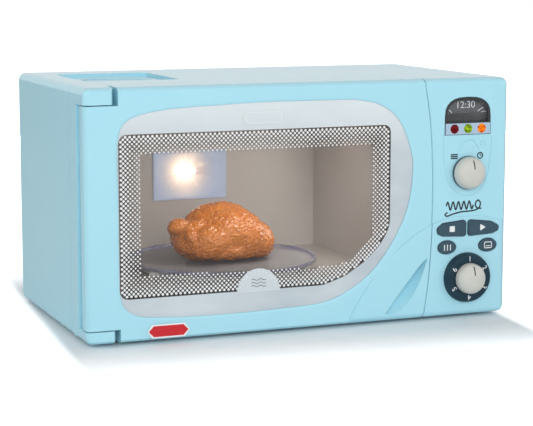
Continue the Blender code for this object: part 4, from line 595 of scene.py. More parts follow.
def dottedPrint():
    # white dots on a staggered grid, smaller towards the clear middle of the window
    outer = roundedOutline(window["outer"], window["outerRadii"])
    inner = roundedOutline(window["inner"], window["innerRadii"])
    pitch = window["pitch"]
    spots, shares = [], []
    for row in range(int(window["spread"][1] / (pitch / 2))):
        up = window["start"][1] + row * pitch / 2
        for column in range(int(window["spread"][0] / pitch) + 1):
            across = window["start"][0] + (column + 0.5 * (row % 2)) * pitch
            here = (across, up)
            if not inside(here, outer) or inside(here, inner):
                continue
            edge = distanceTo(here, outer)
            if edge < window["margins"][0] or distanceTo(here, inner) < window["margins"][1]:
                continue
            spots.append((across * mm, window["front"] * mm, up * mm))
            shares.append(max(0.0, 1 - edge / window["fade"]))
    tree, start, end = growTree("printedDots", {
        "Outer Diameter": "NodeSocketFloat", "Inner Diameter": "NodeSocketFloat",
        "Thickness": "NodeSocketFloat", "Sides": "NodeSocketInt", "Ink": "NodeSocketMaterial"})
    share = addNode(tree, "GeometryNodeInputNamedAttribute", {"data_type": "FLOAT", "Name": "share"})
    width = addNode(tree, "ShaderNodeMix", None, {0: share.outputs["Attribute"],
                                                  2: start.outputs["Inner Diameter"],
                                                  3: start.outputs["Outer Diameter"]})
    scale = addNode(tree, "ShaderNodeCombineXYZ", {"Y": 1.0}, {"X": width.outputs[0], "Z": width.outputs[0]})
    dot = addNode(tree, "GeometryNodeMeshCylinder", {"Radius": 0.5}, {"Vertices": start.outputs["Sides"],
                                                                      "Depth": start.outputs["Thickness"]})
    stood = addNode(tree, "GeometryNodeTransform", {"Rotation": (math.radians(90), 0, 0)},
                    {"Geometry": dot.outputs["Mesh"]})
    spread = addNode(tree, "GeometryNodeInstanceOnPoints", None,
                     {"Points": start.outputs["Geometry"], "Instance": stood.outputs["Geometry"],
                      "Scale": scale.outputs["Vector"]})
    inkedEnd(tree, start, end, spread.outputs["Instances"])
    dots = grown(asObject("windowDots", pointsWith("windowDots", spots, "share", shares), whiteInk), tree, {
        "Outer Diameter": window["outerDot"] * mm, "Inner Diameter": window["innerDot"] * mm,
        "Thickness": window["dotHeight"] * mm, "Sides": window["dotSides"], "Ink": whiteInk})
    rideOn(dots, "door", "white")


def frostedBand():
    # frost between the pane's edge and the dots, and a fine dark line at the pane's edge: its cut edge, darkened
    # with painted shade for the gap's shadow
    outer = roundedOutline(window["outer"], window["outerRadii"])
    pane = frame["nodes"]["door_window"]
    face = min(v.co.y for v in pane.data.vertices)
    ring = {(round(v.co.x / mm, 3), round(v.co.z / mm, 3)) for v in pane.data.vertices if v.co.y < face + 0.1 * mm}
    middle = Vector(window["middle"])
    edge = sorted((Vector(p) for p in ring), key=lambda p: math.atan2((p - middle).y, (p - middle).x))
    band = asPiece(slab([edge, outer[::-1]], window["front"], window["back"]), "frostedBand", frosted)
    rideOn(band, "door", "white")
    rim = [p + (middle - p).normalized() * 0.7 for p in edge]
    rideOn(line("windowEdge", [(p.x, p.y) for p in rim], 0.55, paneEdgeShade, True, 0.15, window["front"] - 0.01),
           "door", "grey")


def crossing(outline, middle, ahead):
    # distance from the middle to the outline in one direction
    for a, b in zip(outline, outline[1:] + outline[:1]):
        start, way = Vector(a) - middle, Vector(b) - Vector(a)
        slope = ahead.x * way.y - ahead.y * way.x
        if abs(slope) < 1e-9:
            continue
        out = (start.x * way.y - start.y * way.x) / slope
        along = (start.x * ahead.y - start.y * ahead.x) / slope
        if out > 0 and -1e-6 <= along <= 1 + 1e-6:
            return out
    return 0.0


def meshShade():
    # painted shade: a dark see-through sheet between the dots for the shaded cavity behind them, strongest at the
    # outer edge and gone at the inner one
    material, tree, shader, place = newMaterial("fading_dark_ink", Roughness=0.4)
    share = addNode(tree, "ShaderNodeAttribute", {"attribute_name": "share"})
    tint = clouded(tree, place, 5, "#1B1D20", "#26282C")
    alpha = addNode(tree, "ShaderNodeMapRange", {"To Min": 0.02, "To Max": window["shade"]},
                    {"Value": share.outputs["Fac"]})
    wire(tree, shader, Base_Color=tint, Alpha=alpha.outputs["Result"])
    outer = roundedOutline(window["outer"], window["outerRadii"])
    inner = roundedOutline(window["inner"], window["innerRadii"])
    middle, spokes, rings = Vector(window["hub"]), window["spokes"], window["rings"]
    points, shares, faces = [], [], []
    for depth in (window["front"] + 0.03, window["back"] - 0.01):
        for k in range(spokes):
            angle = 2 * math.pi * k / spokes
            ahead = Vector((math.cos(angle), math.sin(angle)))
            far, near = crossing(outer, middle, ahead), crossing(inner, middle, ahead)
            for ring in range(rings + 1):
                spot = middle + ahead * (near + (far - near) * ring / rings)
                points.append((spot.x * mm, depth * mm, spot.y * mm))
                shares.append(ring / rings if ring < rings else window["lastShade"])
    layer = spokes * (rings + 1)
    for k in range(spokes):
        here, onward = k * (rings + 1), (k + 1) % spokes * (rings + 1)
        for a, b in zip(range(here, here + rings), range(onward, onward + rings)):
            faces.append((a, b, b + 1, a + 1))
            faces.append((layer + a + 1, layer + b + 1, layer + b, layer + a))
        faces.append((here, layer + here, layer + onward, onward))
        faces.append((here + rings, onward + rings, layer + onward + rings, layer + here + rings))
    mesh = bpy.data.meshes.new("meshShade")
    mesh.from_pydata(points, [], faces)
    mesh.attributes.new("share", "FLOAT", "POINT").data.foreach_set("value", shares)
    shape = bmesh.new()
    shape.from_mesh(mesh)
    bmesh.ops.recalc_face_normals(shape, faces=shape.faces)
    shape.to_mesh(mesh)
    shape.free()
    rideOn(asObject("meshShade", mesh, material), "door", "dark")


# screen-printed inks, matt to silky, the grey-blue painted shade of the pane's edge, and the darker ABS of the power
# dial
paneEdgeShade = mouldedPlastic("grey_edge_ink", "#86A3B2", "#7894A4", 0.4, 8, 0.4, 0.05)
blackInk = mouldedPlastic("black_screen_ink", "#0D0E10", "#121316", 0.4, 5, 0.3, 0.05)
darkInk = mouldedPlastic("dark_screen_ink", "#1E2A33", "#18222A", 0.4, 5, 0.3, 0.05)
greyInk = mouldedPlastic("grey_screen_ink", "#7E888F", "#6F797F", 0.45, 5, 0.3, 0.05)
whiteInk = mouldedPlastic("white_screen_ink", "#EEF0F0", "#E0E4E6", 0.42, 5, 0.3, 0.05)
pearlInk = mouldedPlastic("pearl_grey_ink", "#D2D9DD", "#C6CED3", 0.36, 9, 0.4, 0.05)
redFilm = mouldedPlastic("red_label_film", "#CF1F2A", "#C01823", 0.3, 9, 0.4, 0.05)
deepSlate = mouldedPlastic("deep_slate_abs", "#1F3A48", "#19303D", 0.42, 7, 0.5, 0.10, mirror=0.25)
frosted = frostedInk()
meshShade()
dottedPrint()
frostedBand()
smoothCopy("door_window", "windowPane", clearPane, "clear")
trims = {  # in mm
    "plaque": (-46.5, 148.6, -16.6, 157.6), "plaqueLine": (0.93, 0.82),  # the line's share of width and height
    "badge": {"across": -35.2, "base": 31.0, "radius": 16.1, "rise": 1.03, "ticks": 14, "tickRadius": 14.0,
              "tick": (0.55, 0.08, 1.3), "waves": 3, "waveLength": 5.5, "wavePitch": 2.3, "waveRise": 0.55},
    "label": {"box": (-117.8, 4.5, -87.1, 14.0), "point": 3.6, "border": 1.0},
}


def arcTicks(badge, depth):
    # small strokes that stand on an arc, each turned towards its middle
    angles = [math.pi * k / badge["ticks"] for k in range(1, badge["ticks"])]
    spots = [((badge["across"] + badge["tickRadius"] * math.cos(a)) * mm, depth * mm,
              (badge["base"] + 0.6 + badge["tickRadius"] * math.sin(a)) * mm) for a in angles]
    mesh = pointsWith("badgeTicks", spots, "turn", [math.pi / 2 - a for a in angles])
    tree, start, end = growTree("ticksOnArc", {"Length": "NodeSocketFloat", "Width": "NodeSocketFloat",
                                               "Ink": "NodeSocketMaterial"})
    turn = addNode(tree, "GeometryNodeInputNamedAttribute", {"data_type": "FLOAT", "Name": "turn"})
    about = addNode(tree, "ShaderNodeCombineXYZ", None, {"Y": turn.outputs["Attribute"]})
    width, thick, length = (value * mm for value in badge["tick"])
    size = addNode(tree, "ShaderNodeCombineXYZ", {"Y": thick},
                   {"X": start.outputs["Width"], "Z": start.outputs["Length"]})
    tick = addNode(tree, "GeometryNodeMeshCube", None, {"Size": size.outputs["Vector"]})
    spread = addNode(tree, "GeometryNodeInstanceOnPoints", None,
                     {"Points": start.outputs["Geometry"], "Instance": tick.outputs["Mesh"],
                      "Rotation": about.outputs["Vector"]})
    inkedEnd(tree, start, end, spread.outputs["Instances"])
    return grown(asObject("badgeTicks", mesh, greyInk), tree, {"Length": length, "Width": width, "Ink": greyInk})


def windowTrims():
    left, low, right, high = trims["plaque"]
    pill = roundedOutline(cornersOf(left, low, right, high), 4.3, 8)
    body = softened(asPiece(slab([pill], -90.35, -89.95), "windowPlaque", frosted), 0.12)
    rideOn(settled(body), "door", "white")
    wide, tall = trims["plaqueLine"]
    across, up = (left + right) / 2 * (1 - wide), (low + high) / 2 * (1 - tall)
    path = [(p[0] * wide + across, p[1] * tall + up) for p in pill]
    rideOn(line("plaqueLine", path, 0.3, whiteInk, True, 0.5, -90.4), "door", "white")

    badge = trims["badge"]
    arc = [(badge["across"] + badge["radius"] * math.cos(math.pi * k / 32),
            badge["base"] + badge["radius"] * badge["rise"] * math.sin(math.pi * k / 32)) for k in range(33)]
    rideOn(settled(softened(asPiece(slab([arc], -90.3, -89.95), "ovenBadge", pearlInk), 0.1)), "door", "white")
    rideOn(arcTicks(badge, -90.34), "door", "white")
    waves = []
    for row in range(badge["waves"]):
        up = badge["base"] + 4.2 + row * badge["wavePitch"]
        points = [(badge["across"] + badge["waveLength"] * (k / 12 - 1),
                   up + badge["waveRise"] * math.sin(2 * math.pi * k / 12)) for k in range(25)]
        waves.append(line("badgeWave%d" % row, points, 0.28, greyInk, False, 0.4, -90.32))
    rideOn(joined("badgeWaves", waves), "door", "white")

    label = trims["label"]
    left, low, right, high = label["box"]
    for name, inset, corner, near, far, soft, film, slot in (
            ("doorLabelBorder", 0, 0.8, -92.85, -92.3, 0.12, whiteInk, "white"),
            ("doorLabel", label["border"], 0.6, -92.95, -92.8, 0.05, redFilm, "red")):
        l, r, lo, hi, point = left + inset, right - inset, low + inset, high - inset, label["point"]
        outline = [(l, (low + high) / 2), (l + point, lo), (r - point, lo), (r, (low + high) / 2),
                   (r - point, hi), (l + point, hi)]
        plate = asPiece(slab([roundedOutline(outline, corner)], near, far), name, film)
        rideOn(settled(softened(plate, soft)), "door", slot)


windowTrims()
print("window printed")


# Roast chicken

roast = {
    "lumps": [  # centre, radii and turn about the depth axis, in mm and degrees
        ((-31, 4, 64.5), (27, 21, 17.0), -4), ((-24, -1, 60.5), (27, 26, 18.5), 10),
        ((-47, 2, 55), (20, 26, 15.5), 6), ((-8, 2, 54.5), (20, 25, 15.5), 22), ((-28, 2, 49), (36, 27, 10), 0),
        ((-40, -15, 56.5), (21, 12, 13.0), -14), ((-17, -15, 58), (17, 12, 15), 26),
        ((-64.5, -5, 66.5), (8.2, 6.0, 5.8), -8), ((-54, -8, 66), (10, 6.5, 5.2), -10),
        ((-58.5, -15, 60.0), (5.2, 5.2, 5.0), 0), ((-60, 12, 62), (7.5, 6.2, 6.2), 12),
        ((-5, -13, 57), (8, 8, 14), -35)],
    "voxel": 0.65, "base": 39.9, "folds": 0.7, "wrinkles": 0.65, "pimples": 1.05,
    "foldSize": 9.0, "wrinkleSizes": (3.8, 2.2, 1.9), "pimpleSize": 1.5,
}


def roastSkin():
    # painted soft vinyl: orange-brown, darker on the ridges, with paler orange painted highlights on the fine bumps;
    # wet-looking varnish that sparkles on each pimple
    material, tree, shader, place = newMaterial("varnished_vinyl", Coat_Weight=0.9, Coat_Roughness=0.10)
    warm = clouded(tree, place, 16, "#C25C06", "#E5861C", 3.0)
    fine = addNode(tree, "ShaderNodeTexNoise", {"Scale": 1 / (1.8 * mm), "Detail": 2.0}, {"Vector": place})
    shade = addNode(tree, "ShaderNodeMapRange", {"From Min": 0.35, "From Max": 0.75, "To Max": 0.5},
                    {"Value": fine.outputs["Fac"]})
    # painted highlights: paler orange where the fine bumps stand up
    tint = addNode(tree, "ShaderNodeMix", {"data_type": "RGBA", 7: toLinear("#F2A84E")},
                   {0: shade.outputs["Result"], 6: warm})
    gloss = addNode(tree, "ShaderNodeMapRange", {"To Min": 0.12, "To Max": 0.34}, {"Value": fine.outputs["Fac"]})
    bump = addNode(tree, "ShaderNodeBump", {"Strength": 0.7, "Distance": 0.6 * mm},
                   {"Height": fine.outputs["Fac"]})
    wire(tree, shader, Base_Color=tint.outputs[2],
         Roughness=gloss.outputs["Result"],
         Normal=bump.outputs["Normal"])
    return material


def roastChicken():
    shape = bmesh.new()
    for centre, radii, turn in roast["lumps"]:
        place = (Matrix.Translation(Vector(centre) * mm) @ Matrix.Rotation(math.radians(turn), 4, "Y")
                 @ Matrix.Diagonal((*(r * mm for r in radii), 1)))
        bmesh.ops.create_icosphere(shape, subdivisions=4, radius=1.0, matrix=place)
    mesh = bpy.data.meshes.new("roastChicken")
    shape.to_mesh(mesh)
    shape.free()
    obj = asObject("roastChicken", mesh, roastSkin())
    remesh = obj.modifiers.new("melt", "REMESH")
    remesh.mode = "VOXEL"
    remesh.voxel_size = roast["voxel"] * mm
    smooth = obj.modifiers.new("blend", "SMOOTH")
    smooth.factor = 0.8
    smooth.iterations = 9
    obj = settled(obj)
    normals = [v.normal.copy() for v in obj.data.vertices]
    for vertex, normal in zip(obj.data.vertices, normals):
        spot = vertex.co / mm
        fold = noise.fractal(spot / roast["foldSize"], 1.0, 2.0, 3)
        # wrinkles run lengthwise, as skin does that is drawn over the joints
        long, deep, high = roast["wrinkleSizes"]
        along = Vector((spot.x / long, spot.y / deep, (spot.z - 0.25 * spot.x) / high))
        wrinkle = abs(noise.noise(along + Vector((0.35 * fold, 0, 0.5 * fold)))) * 2 - 0.5
        pimple = max(0.0, noise.noise(spot / roast["pimpleSize"]))
        swell = roast["folds"] * fold - roast["wrinkles"] * wrinkle + roast["pimples"] * pimple
        vertex.co += normal * swell * mm
        vertex.co.z = max(vertex.co.z, roast["base"] * mm)
    obj.data.shade_smooth()
    rideOn(obj, "chicken", "roast", "roast_chicken")


roastChicken()
print("chicken made")


# Turntable plate and lamp

dish = {"across": -28.53, "deep": 3.4, "radius": 71.4, "floor": 38.0, "thick": 1.4, "rim": 3.0, "violet": 3.2,
        "steps": 128}


def clearDish():
    # thin see-through plate with an upturned lip, whose thick edge looks violet
    r, f, t = dish["radius"], dish["floor"], dish["thick"]
    top = f + dish["rim"]
    profile = [(0, f), (r - 2.6, f), (r - 0.6, f + 0.5), (r, f + 1.6), (r - 0.1, top), (r - 0.9, top + 0.15),
               (r - 1.7, top - 0.1), (r - 2.0, f + t + 0.4), (r - 3.6, f + t), (0, f + t)]
    x, y = dish["across"], dish["deep"]
    shape = revolved(profile, lambda radius, height, a: (x + radius * math.cos(a), y + radius * math.sin(a), height),
                     dish["steps"])
    obj = asPiece(shape, "turntableDish", clearStyrene("clear_dish_styrene", "#E8E2E6", 0.04, 0.5, mirror=0.25))
    obj.data.materials.append(clearStyrene("violet_edge_styrene", "#8F86C6", 0.35, 0.9))
    for face in obj.data.polygons:
        out = face.center.xy / mm - Vector((x, y))
        face.material_index = 1 if out.length > r - dish["violet"] else 0
    return obj


rideOn(clearDish(), "plate", "clear")
# bulb's place, and emission strengths of the lamp cover's painted glow (core, whole cover and halo); the bulb itself
# is a lamp
lamp = {"bulb": (-31 * mm, 75 * mm, 96.5 * mm), "core": 1.6, "cover": 0.20, "paintedHalo": 0.45, "bulbStrength": 9.0}


def lampCover():
    # frosted blue-violet polystyrene; the bulb's light through it is a painted glow: emission that is warm round the
    # bulb and falls off in uneven painted streaks
    material, tree, shader, place = newMaterial("frosted_lamp_cover", Roughness=0.3, IOR=1.58)
    tint = clouded(tree, place, 7, "#B4C2DC", "#CCD6E6", 3.0)
    away = addNode(tree, "ShaderNodeVectorMath", {"operation": "DISTANCE", 1: lamp["bulb"]}, {0: place})
    glow = addNode(tree, "ShaderNodeMapRange", {"From Min": 1 * mm, "From Max": 30 * mm, "To Min": 1.0,
                                                "To Max": 0.0}, {"Value": away.outputs["Value"]})
    offset = addNode(tree, "ShaderNodeVectorMath", {"operation": "SUBTRACT", 1: lamp["bulb"]}, {0: place})
    sides = addNode(tree, "ShaderNodeSeparateXYZ", None, {0: offset.outputs[0]})
    angle = addNode(tree, "ShaderNodeMath", {"operation": "ARCTAN2"},
                    {0: sides.outputs["Z"], 1: sides.outputs["X"]})
    paintedRays = addNode(tree, "ShaderNodeTexNoise", {"noise_dimensions": "1D", "Scale": 4.0, "Detail": 2.0},
                    {"W": angle.outputs[0]})
    streak = addNode(tree, "ShaderNodeMapRange", {"From Min": 0.35, "From Max": 0.7, "To Min": 0.75,
                                                  "To Max": 1.12}, {"Value": paintedRays.outputs["Fac"]})
    lit = glow.outputs["Result"]
    spread = addNode(tree, "ShaderNodeMath", {"operation": "MULTIPLY"}, {0: lit, 1: streak.outputs[0]})
    peak = addNode(tree, "ShaderNodeMath", {"operation": "POWER", 1: 5.0}, {0: spread.outputs[0]})
    core = addNode(tree, "ShaderNodeMath", {"operation": "MULTIPLY_ADD", 1: lamp["core"], 2: lamp["cover"]},
                   {0: peak.outputs[0]})
    paintedHalo = addNode(tree, "ShaderNodeMath", {"operation": "MULTIPLY"}, {0: lit, 1: lit})
    strength = addNode(tree, "ShaderNodeMath", {"operation": "MULTIPLY_ADD", 1: lamp["paintedHalo"]},
                       {0: paintedHalo.outputs[0], 2: core.outputs[0]})
    near = addNode(tree, "ShaderNodeMapRange", {"From Min": 0.02, "From Max": 0.3, "To Max": 1.0},
                   {"Value": paintedHalo.outputs[0]})
    # painted glow colour: pale lavender far from the bulb, warm near it
    paintedGlowTint = addNode(tree, "ShaderNodeMix", {"data_type": "RGBA", 6: toLinear("#AAB8D4"), 7: toLinear("#FFCB9E")},
                     {0: near.outputs["Result"]})
    clear = addNode(tree, "ShaderNodeMapRange", {"From Min": 8 * mm, "From Max": 26 * mm, "To Min": 0.35,
                                                 "To Max": 0.65}, {"Value": away.outputs["Value"]})
    wire(tree, shader, Base_Color=tint,
         Emission_Color=paintedGlowTint.outputs[2],
         Emission_Strength=strength.outputs[0],
         Alpha=clear.outputs["Result"])
    return material


smoothCopy("lamp_cover", "lampCover", lampCover(), "clear")


def bulbGlow():
    # lit filament bulb: glass that glows a warm white
    material, tree, shader, place = newMaterial("lit_bulb", Roughness=0.2, Emission_Strength=lamp["bulbStrength"])
    tint = clouded(tree, place, 3, "#FFE2BC", "#FFF3DF")
    wire(tree, shader, Base_Color=tint, Emission_Color=tint)
    return material


smoothCopy("lamp_bulb", "lampBulb", bulbGlow(), "bulb_glass")
print("oven fitted out")


# Control panel

timer = {"across": 127.12, "up": 107.94, "radius": 11.8, "tip": -103.75, "skirt": -94.1, "seat": -91.95, "stem": 3}
dial = {"across": 127.12, "up": 30.86, "radius": 11.3, "tip": -107.1, "skirt": -98.0, "face": -98.3, "seat": -92.7,
        "stem": 4, "numbers": 6, "numberSize": 5.4, "numberRadius": 14.1}
stemEnd = -75.9
panel = {  # printed and raised lines of the panel and signs of the buttons, in mm
    "print": -91.74, "raised": -91.72, "sign": -93.75,
    "shield": [(107.2, 136.5), (107.8, 119.8), (109.4, 108.7), (112.5, 100.2), (118.8, 93.8), (126.9, 90.9),
               (134.5, 92.4), (140.2, 97.2), (144.0, 107.1), (146.2, 121.0), (146.8, 133.9)],
    "moon": [(120.0, 123.8), (121.9, 128.7), (126.3, 131.1), (131.9, 130.9), (137.0, 124.2)],
    "ring": (139.8, 128.8, 1.8), "clock": (137.6, 120.0, 2.1), "menu": (113.6, 118.6, 5.6, 1.35),
    "swoosh": [(111.6, 79.3), (109.6, 77.8), (111.4, 76.6), (116.5, 78.0), (123.5, 79.3), (130.5, 79.5),
               (136.6, 80.8), (138.6, 84.6), (136.6, 87.2), (134.4, 84.8), (135.6, 81.6), (139.4, 81.0)],
    "wave": {"across": 110.6, "up": 83.9, "length": 22, "rise": 2.9, "steps": 72, "turns": 5},
    "stop": (114.6, 67.27), "start": (139.6, 67.27), "grill": (110.95, 51.6, 56.0, 2.4),
    "oven": (141.5, 51.7, 147.3, 56.0),
}


def dome(radius, tip, seat, steps=16):
    # a knob's rounded front, from its tip down to its skirt, a little fuller than a half ellipse
    rise = seat - tip
    points = []
    for k in range(steps + 1):
        a = math.pi / 2 * k / steps
        points.append((radius * math.sin(a) ** 0.92, tip + rise * (1 - math.cos(a) ** 0.62)))
    return points


def stemOf(knob, name, material):
    profile = [(0, knob["seat"]), (knob["stem"], knob["seat"]), (knob["stem"], stemEnd), (0, stemEnd)]
    return asPiece(turned(profile, knob["across"], knob["up"], 32), name, material)


def aroundDial(name, texts, size, thick, middle, radius):
    # one text after the other round a circle on the front, clockwise from the top, each with its foot inwards
    marks = []
    for k, text in enumerate(texts):
        turn = -360 / len(texts) * k
        a = math.radians(90 + turn)
        mark = lettering("%s%d" % (name, k), text, size, whiteInk, thick)
        marks.append(placed(mark, facing(middle[0] + radius * math.cos(a), middle[1],
                                         middle[2] + radius * math.sin(a), turn)))
    return marks


def knobs():
    profile = dome(timer["radius"], timer["tip"], timer["skirt"]) + [(0, timer["skirt"])]
    knob = asPiece(turned(profile, timer["across"], timer["up"]), "timerKnob", creamAbs)
    # slate ring at the knob's foot: a collar whose dark colour is partly painted shade for the shadow under the
    # knob's skirt
    profile = [(0, -94.2), (11.9, -94.2), (12.2, -93.9), (12.2, -92.3), (11.9, timer["seat"]), (0, timer["seat"])]
    rideOn(asPiece(turned(profile, timer["across"], timer["up"]), "timerCollar", slateAbs), "timer", "slate")
    rideOn(joined("timerKnob", [knob, stemOf(timer, "timerStem", creamAbs)]), "timer", "cream", "timer_knob")

    profile = [(0, dial["skirt"]), (11.2, dial["skirt"]), (12.0, dial["face"]), (16.3, dial["face"]),
               (17.0, -98.1), (17.5, -97.6), (18.3, -94.2), (18.4, -93.4), (18.4, dial["seat"]), (0, dial["seat"])]
    rings = asPiece(turned(profile, dial["across"], dial["up"], 96), "powerDial", deepSlate)
    rideOn(joined("powerDial", [rings, stemOf(dial, "powerStem", slateAbs)]), "power", "slate", "power_dial")
    profile = dome(dial["radius"], dial["tip"], dial["skirt"]) + [(0, dial["skirt"])]
    cap = asPiece(turned(profile, dial["across"], dial["up"]), "powerCap", creamAbs)
    rideOn(cap, "power", "cream", "power_cap")
    count = dial["numbers"]
    marks = aroundDial("dialNumber", [str(k + 1) for k in range(count)], dial["numberSize"], 0.12,
                       (dial["across"], dial["face"] - 0.03, dial["up"]), dial["numberRadius"])
    rideOn(joined("dialNumbers", marks), "power", "white")
    for name, knob, body in (("timerPointer", timer, "timer"), ("powerPointer", dial, "power")):
        curve = [p for p in dome(knob["radius"], knob["tip"], knob["skirt"], steps=24) if 3.2 < p[0] < 9.8]
        points = [(knob["across"], depth - 0.02, knob["up"] + r) for r, depth in curve]
        rideOn(line(name, points, 0.42, darkInk), body, "slate")


def buttonSigns():
    for name, body in (("stopMark", "stop"), ("startMark", "start")):
        x, z = panel[body]
        if body == "stop":
            outline = cornersOf(x - 2.1, z - 2.1, x + 2.1, z + 2.1)
        else:
            outline = [(x - 1.9, z - 2.5), (x + 2.6, z), (x - 1.9, z + 2.5)]
        rideOn(asPiece(slab([roundedOutline(outline, 0.3, 3)], -93.82, -93.5), name, whiteInk), body, "white")
    x, low, high, pitch = panel["grill"]
    bars = [line("grillBar%d" % k, [(x + pitch * (k - 1), low), (x + pitch * (k - 1), high)], 0.38, whiteInk,
                 False, 0.5, panel["sign"]) for k in range(3)]
    rideOn(joined("grillMark", bars), "grill", "white")
    left, low, right, high = panel["oven"]
    outline = roundedOutline(cornersOf(left, low, right, high), 0.8, 4)
    box = [line("ovenOutline", outline, 0.34, whiteInk, True, 0.5, panel["sign"]),
           line("ovenShelf", [(left + 1.1, low + 1.5), (right - 1.1, low + 1.5)], 0.3, whiteInk, False, 0.5,
                panel["sign"])]
    rideOn(joined("ovenMark", box), "oven", "white")


def panelLines():
    raised, printed = panel["raised"], panel["print"]
    rideOn(line("panelShield", flow(panel["shield"]), 0.32, blueAbs, False, 0.8, raised), "case", "sky_blue")
    icons = [line("panelMoon", flow(panel["moon"]), 0.4, blueAbs, False, 0.8, raised),
             line("panelRing", circle(*panel["ring"]), 0.4, blueAbs, True, 0.8, raised)]
    rideOn(joined("panelIcons", icons), "case", "sky_blue")
    wave = panel["wave"]
    points = [(wave["across"] + wave["length"] * k / wave["steps"],
               wave["up"] + wave["rise"] * math.sin(2 * math.pi * wave["turns"] * k / wave["steps"]))
              for k in range(wave["steps"] + 1)]
    waves = [line("panelSwoosh", flow(panel["swoosh"]), 0.55, darkInk, False, 0.3, printed),
             line("panelWave", points, 0.6, darkInk, False, 0.3, printed)]
    rideOn(joined("panelWaves", waves), "case", "slate")
    x, z, width, pitch = panel["menu"]
    marks = [line("menuBar%d" % k, [(x, z + pitch * k), (x + width, z + pitch * k)], 0.48, darkInk, False, 0.4,
                  printed) for k in range(3)]
    marks.append(line("clockRing", circle(*panel["clock"]), 0.46, darkInk, True, 0.4, printed))
    x, z = panel["clock"][:2]
    marks.append(line("clockHands", [(x, z + 1.3), (x, z), (x + 1.0, z)], 0.4, darkInk, False, 0.4, printed))
    rideOn(joined("timerMarks", marks), "case", "slate")


knobs()
buttonSigns()
panelLines()
print("panel printed")


# Display

shown = {  # in mm
    "strip": (109.0, 135.9, 145.2, 143.9), "stripDepths": (-92.25, -91.5), "gemHole": 3.3,
    "band": (109.0, 143.0, 145.2, 151.1), "bandDepths": (-88.9, -88.7),
    "wheel": (127.12, 139.09), "wheelRadius": 23.0, "wheelDepths": (-87.45, -87.3),
    "texts": ("12:30", "10:00", "8:00", "6:00", "4:00", "2:00"), "textSize": 7.2, "textRadius": 17.6,
    # the light facet colours are painted glints, the dark ones painted shade
    "gems": [  # node, piece, light and dark facets, slot
        ("gem_red", "gemRed", "#8C0A10", "#2E0204", "red"),
        ("gem_green", "gemGreen", "#A4C41C", "#4A6408", "green"),
        ("gem_orange", "gemOrange", "#FF8A14", "#C23A06", "orange")],
    "facets": 10, "gemRings": ((3.5, -91.75, 0), (3.45, -92.4, 0.5), (2.4, -93.0, 0), (1.0, -93.28, 0.5)),
}


def gemAcrylicPaintedGlints(name, light, dark):
    # faceted see-through acrylic over foil: each facet gets its own bright or dark patch, painted glints and painted
    # shade in place of real reflections, and a faint painted glow from the emission
    material, tree, shader, place = newMaterial(name, Roughness=0.12, Emission_Strength=0.18,
                                                Specular_IOR_Level=0.15)
    cells = addNode(tree, "ShaderNodeTexVoronoi", {"Scale": 1 / (1.3 * mm)}, {"Vector": place})
    paintedGlint = addNode(tree, "ShaderNodeSeparateColor", None, {"Color": cells.outputs["Color"]})
    tint = addNode(tree, "ShaderNodeMix", {"data_type": "RGBA", 6: toLinear(dark), 7: toLinear(light)},
                   {0: paintedGlint.outputs["Red"]})
    wire(tree, shader, Base_Color=tint.outputs[2], Emission_Color=tint.outputs[2])
    return material


def cutGem(x, z):
    # round gem whose rings of corners are each turned half a facet against the one before
    shape = bmesh.new()
    count = shown["facets"]
    rings = []
    for radius, depth, twist in shown["gemRings"]:
        angles = [2 * math.pi * (k + twist) / count for k in range(count)]
        rings.append([shape.verts.new(((x + radius * math.cos(a)) * mm, depth * mm,
                                       (z + radius * math.sin(a)) * mm)) for a in angles])
    for number, (here, onward) in enumerate(zip(rings, rings[1:])):
        for k in range(count):
            n = (k + 1) % count
            if number % 2:
                facets = ((here[k], here[n], onward[n]), (here[k], onward[n], onward[k]))
            else:
                facets = ((here[k], here[n], onward[k]), (here[n], onward[n], onward[k]))
            for facet in facets:
                shape.faces.new(facet)
    shape.faces.new(rings[0])
    shape.faces.new(rings[-1])
    return shape


def display():
    holes = []
    for node, name, light, dark, slot in shown["gems"]:
        x, z = middleOf(node)
        gem = asPiece(cutGem(x, z), name, gemAcrylicPaintedGlints(name + "_acrylic", light, dark), 5)
        rideOn(gem, "case", slot, node)
        holes.append(circle(x, z, shown["gemHole"], 24, -1))
    greyFace = mouldedPlastic("printed_grey_disc", "#4E5055", "#424449", 0.5, 6, 0.4, 0.08)
    (x, z), radius, (near, far) = shown["wheel"], shown["wheelRadius"], shown["wheelDepths"]
    disc = turned([(0, near), (radius, near), (radius, far), (0, far)], x, z, 64)
    rideOn(asPiece(disc, "countdownFace", greyFace), "countdown", "white")
    texts = aroundDial("minutes", shown["texts"], shown["textSize"], 0.08, (x, near - 0.05, z),
                       shown["textRadius"])
    rideOn(joined("countdownNumbers", texts), "countdown", "white")
    band = asPiece(slab([cornersOf(*shown["band"])], *shown["bandDepths"]), "displayBand", blackInk)
    rideOn(band, "case", "dark")
    smoked = clearStyrene("smoked_styrene", "#2A2C31", 0.06, 0.35, mirror=0.1)
    smoothCopy("display_window", "displayWindow", smoked, "clear")
    smoothCopy("display_bezel", "displayBezel", darkAbs, "dark")
    strip = asPiece(slab([cornersOf(*shown["strip"])] + holes, *shown["stripDepths"]), "gemStrip", silverAbs)
    rideOn(strip, "case", "silver", "gem_strip")


display()
for node, name in (("stop_button", "stopButton"), ("start_button", "startButton"), ("grill_button", "grillButton"),
                   ("oven_button", "ovenButton")):
    smoothCopy(node, name, slateAbs, "slate", 25)
print("controls fitted")


# Floor, light and camera

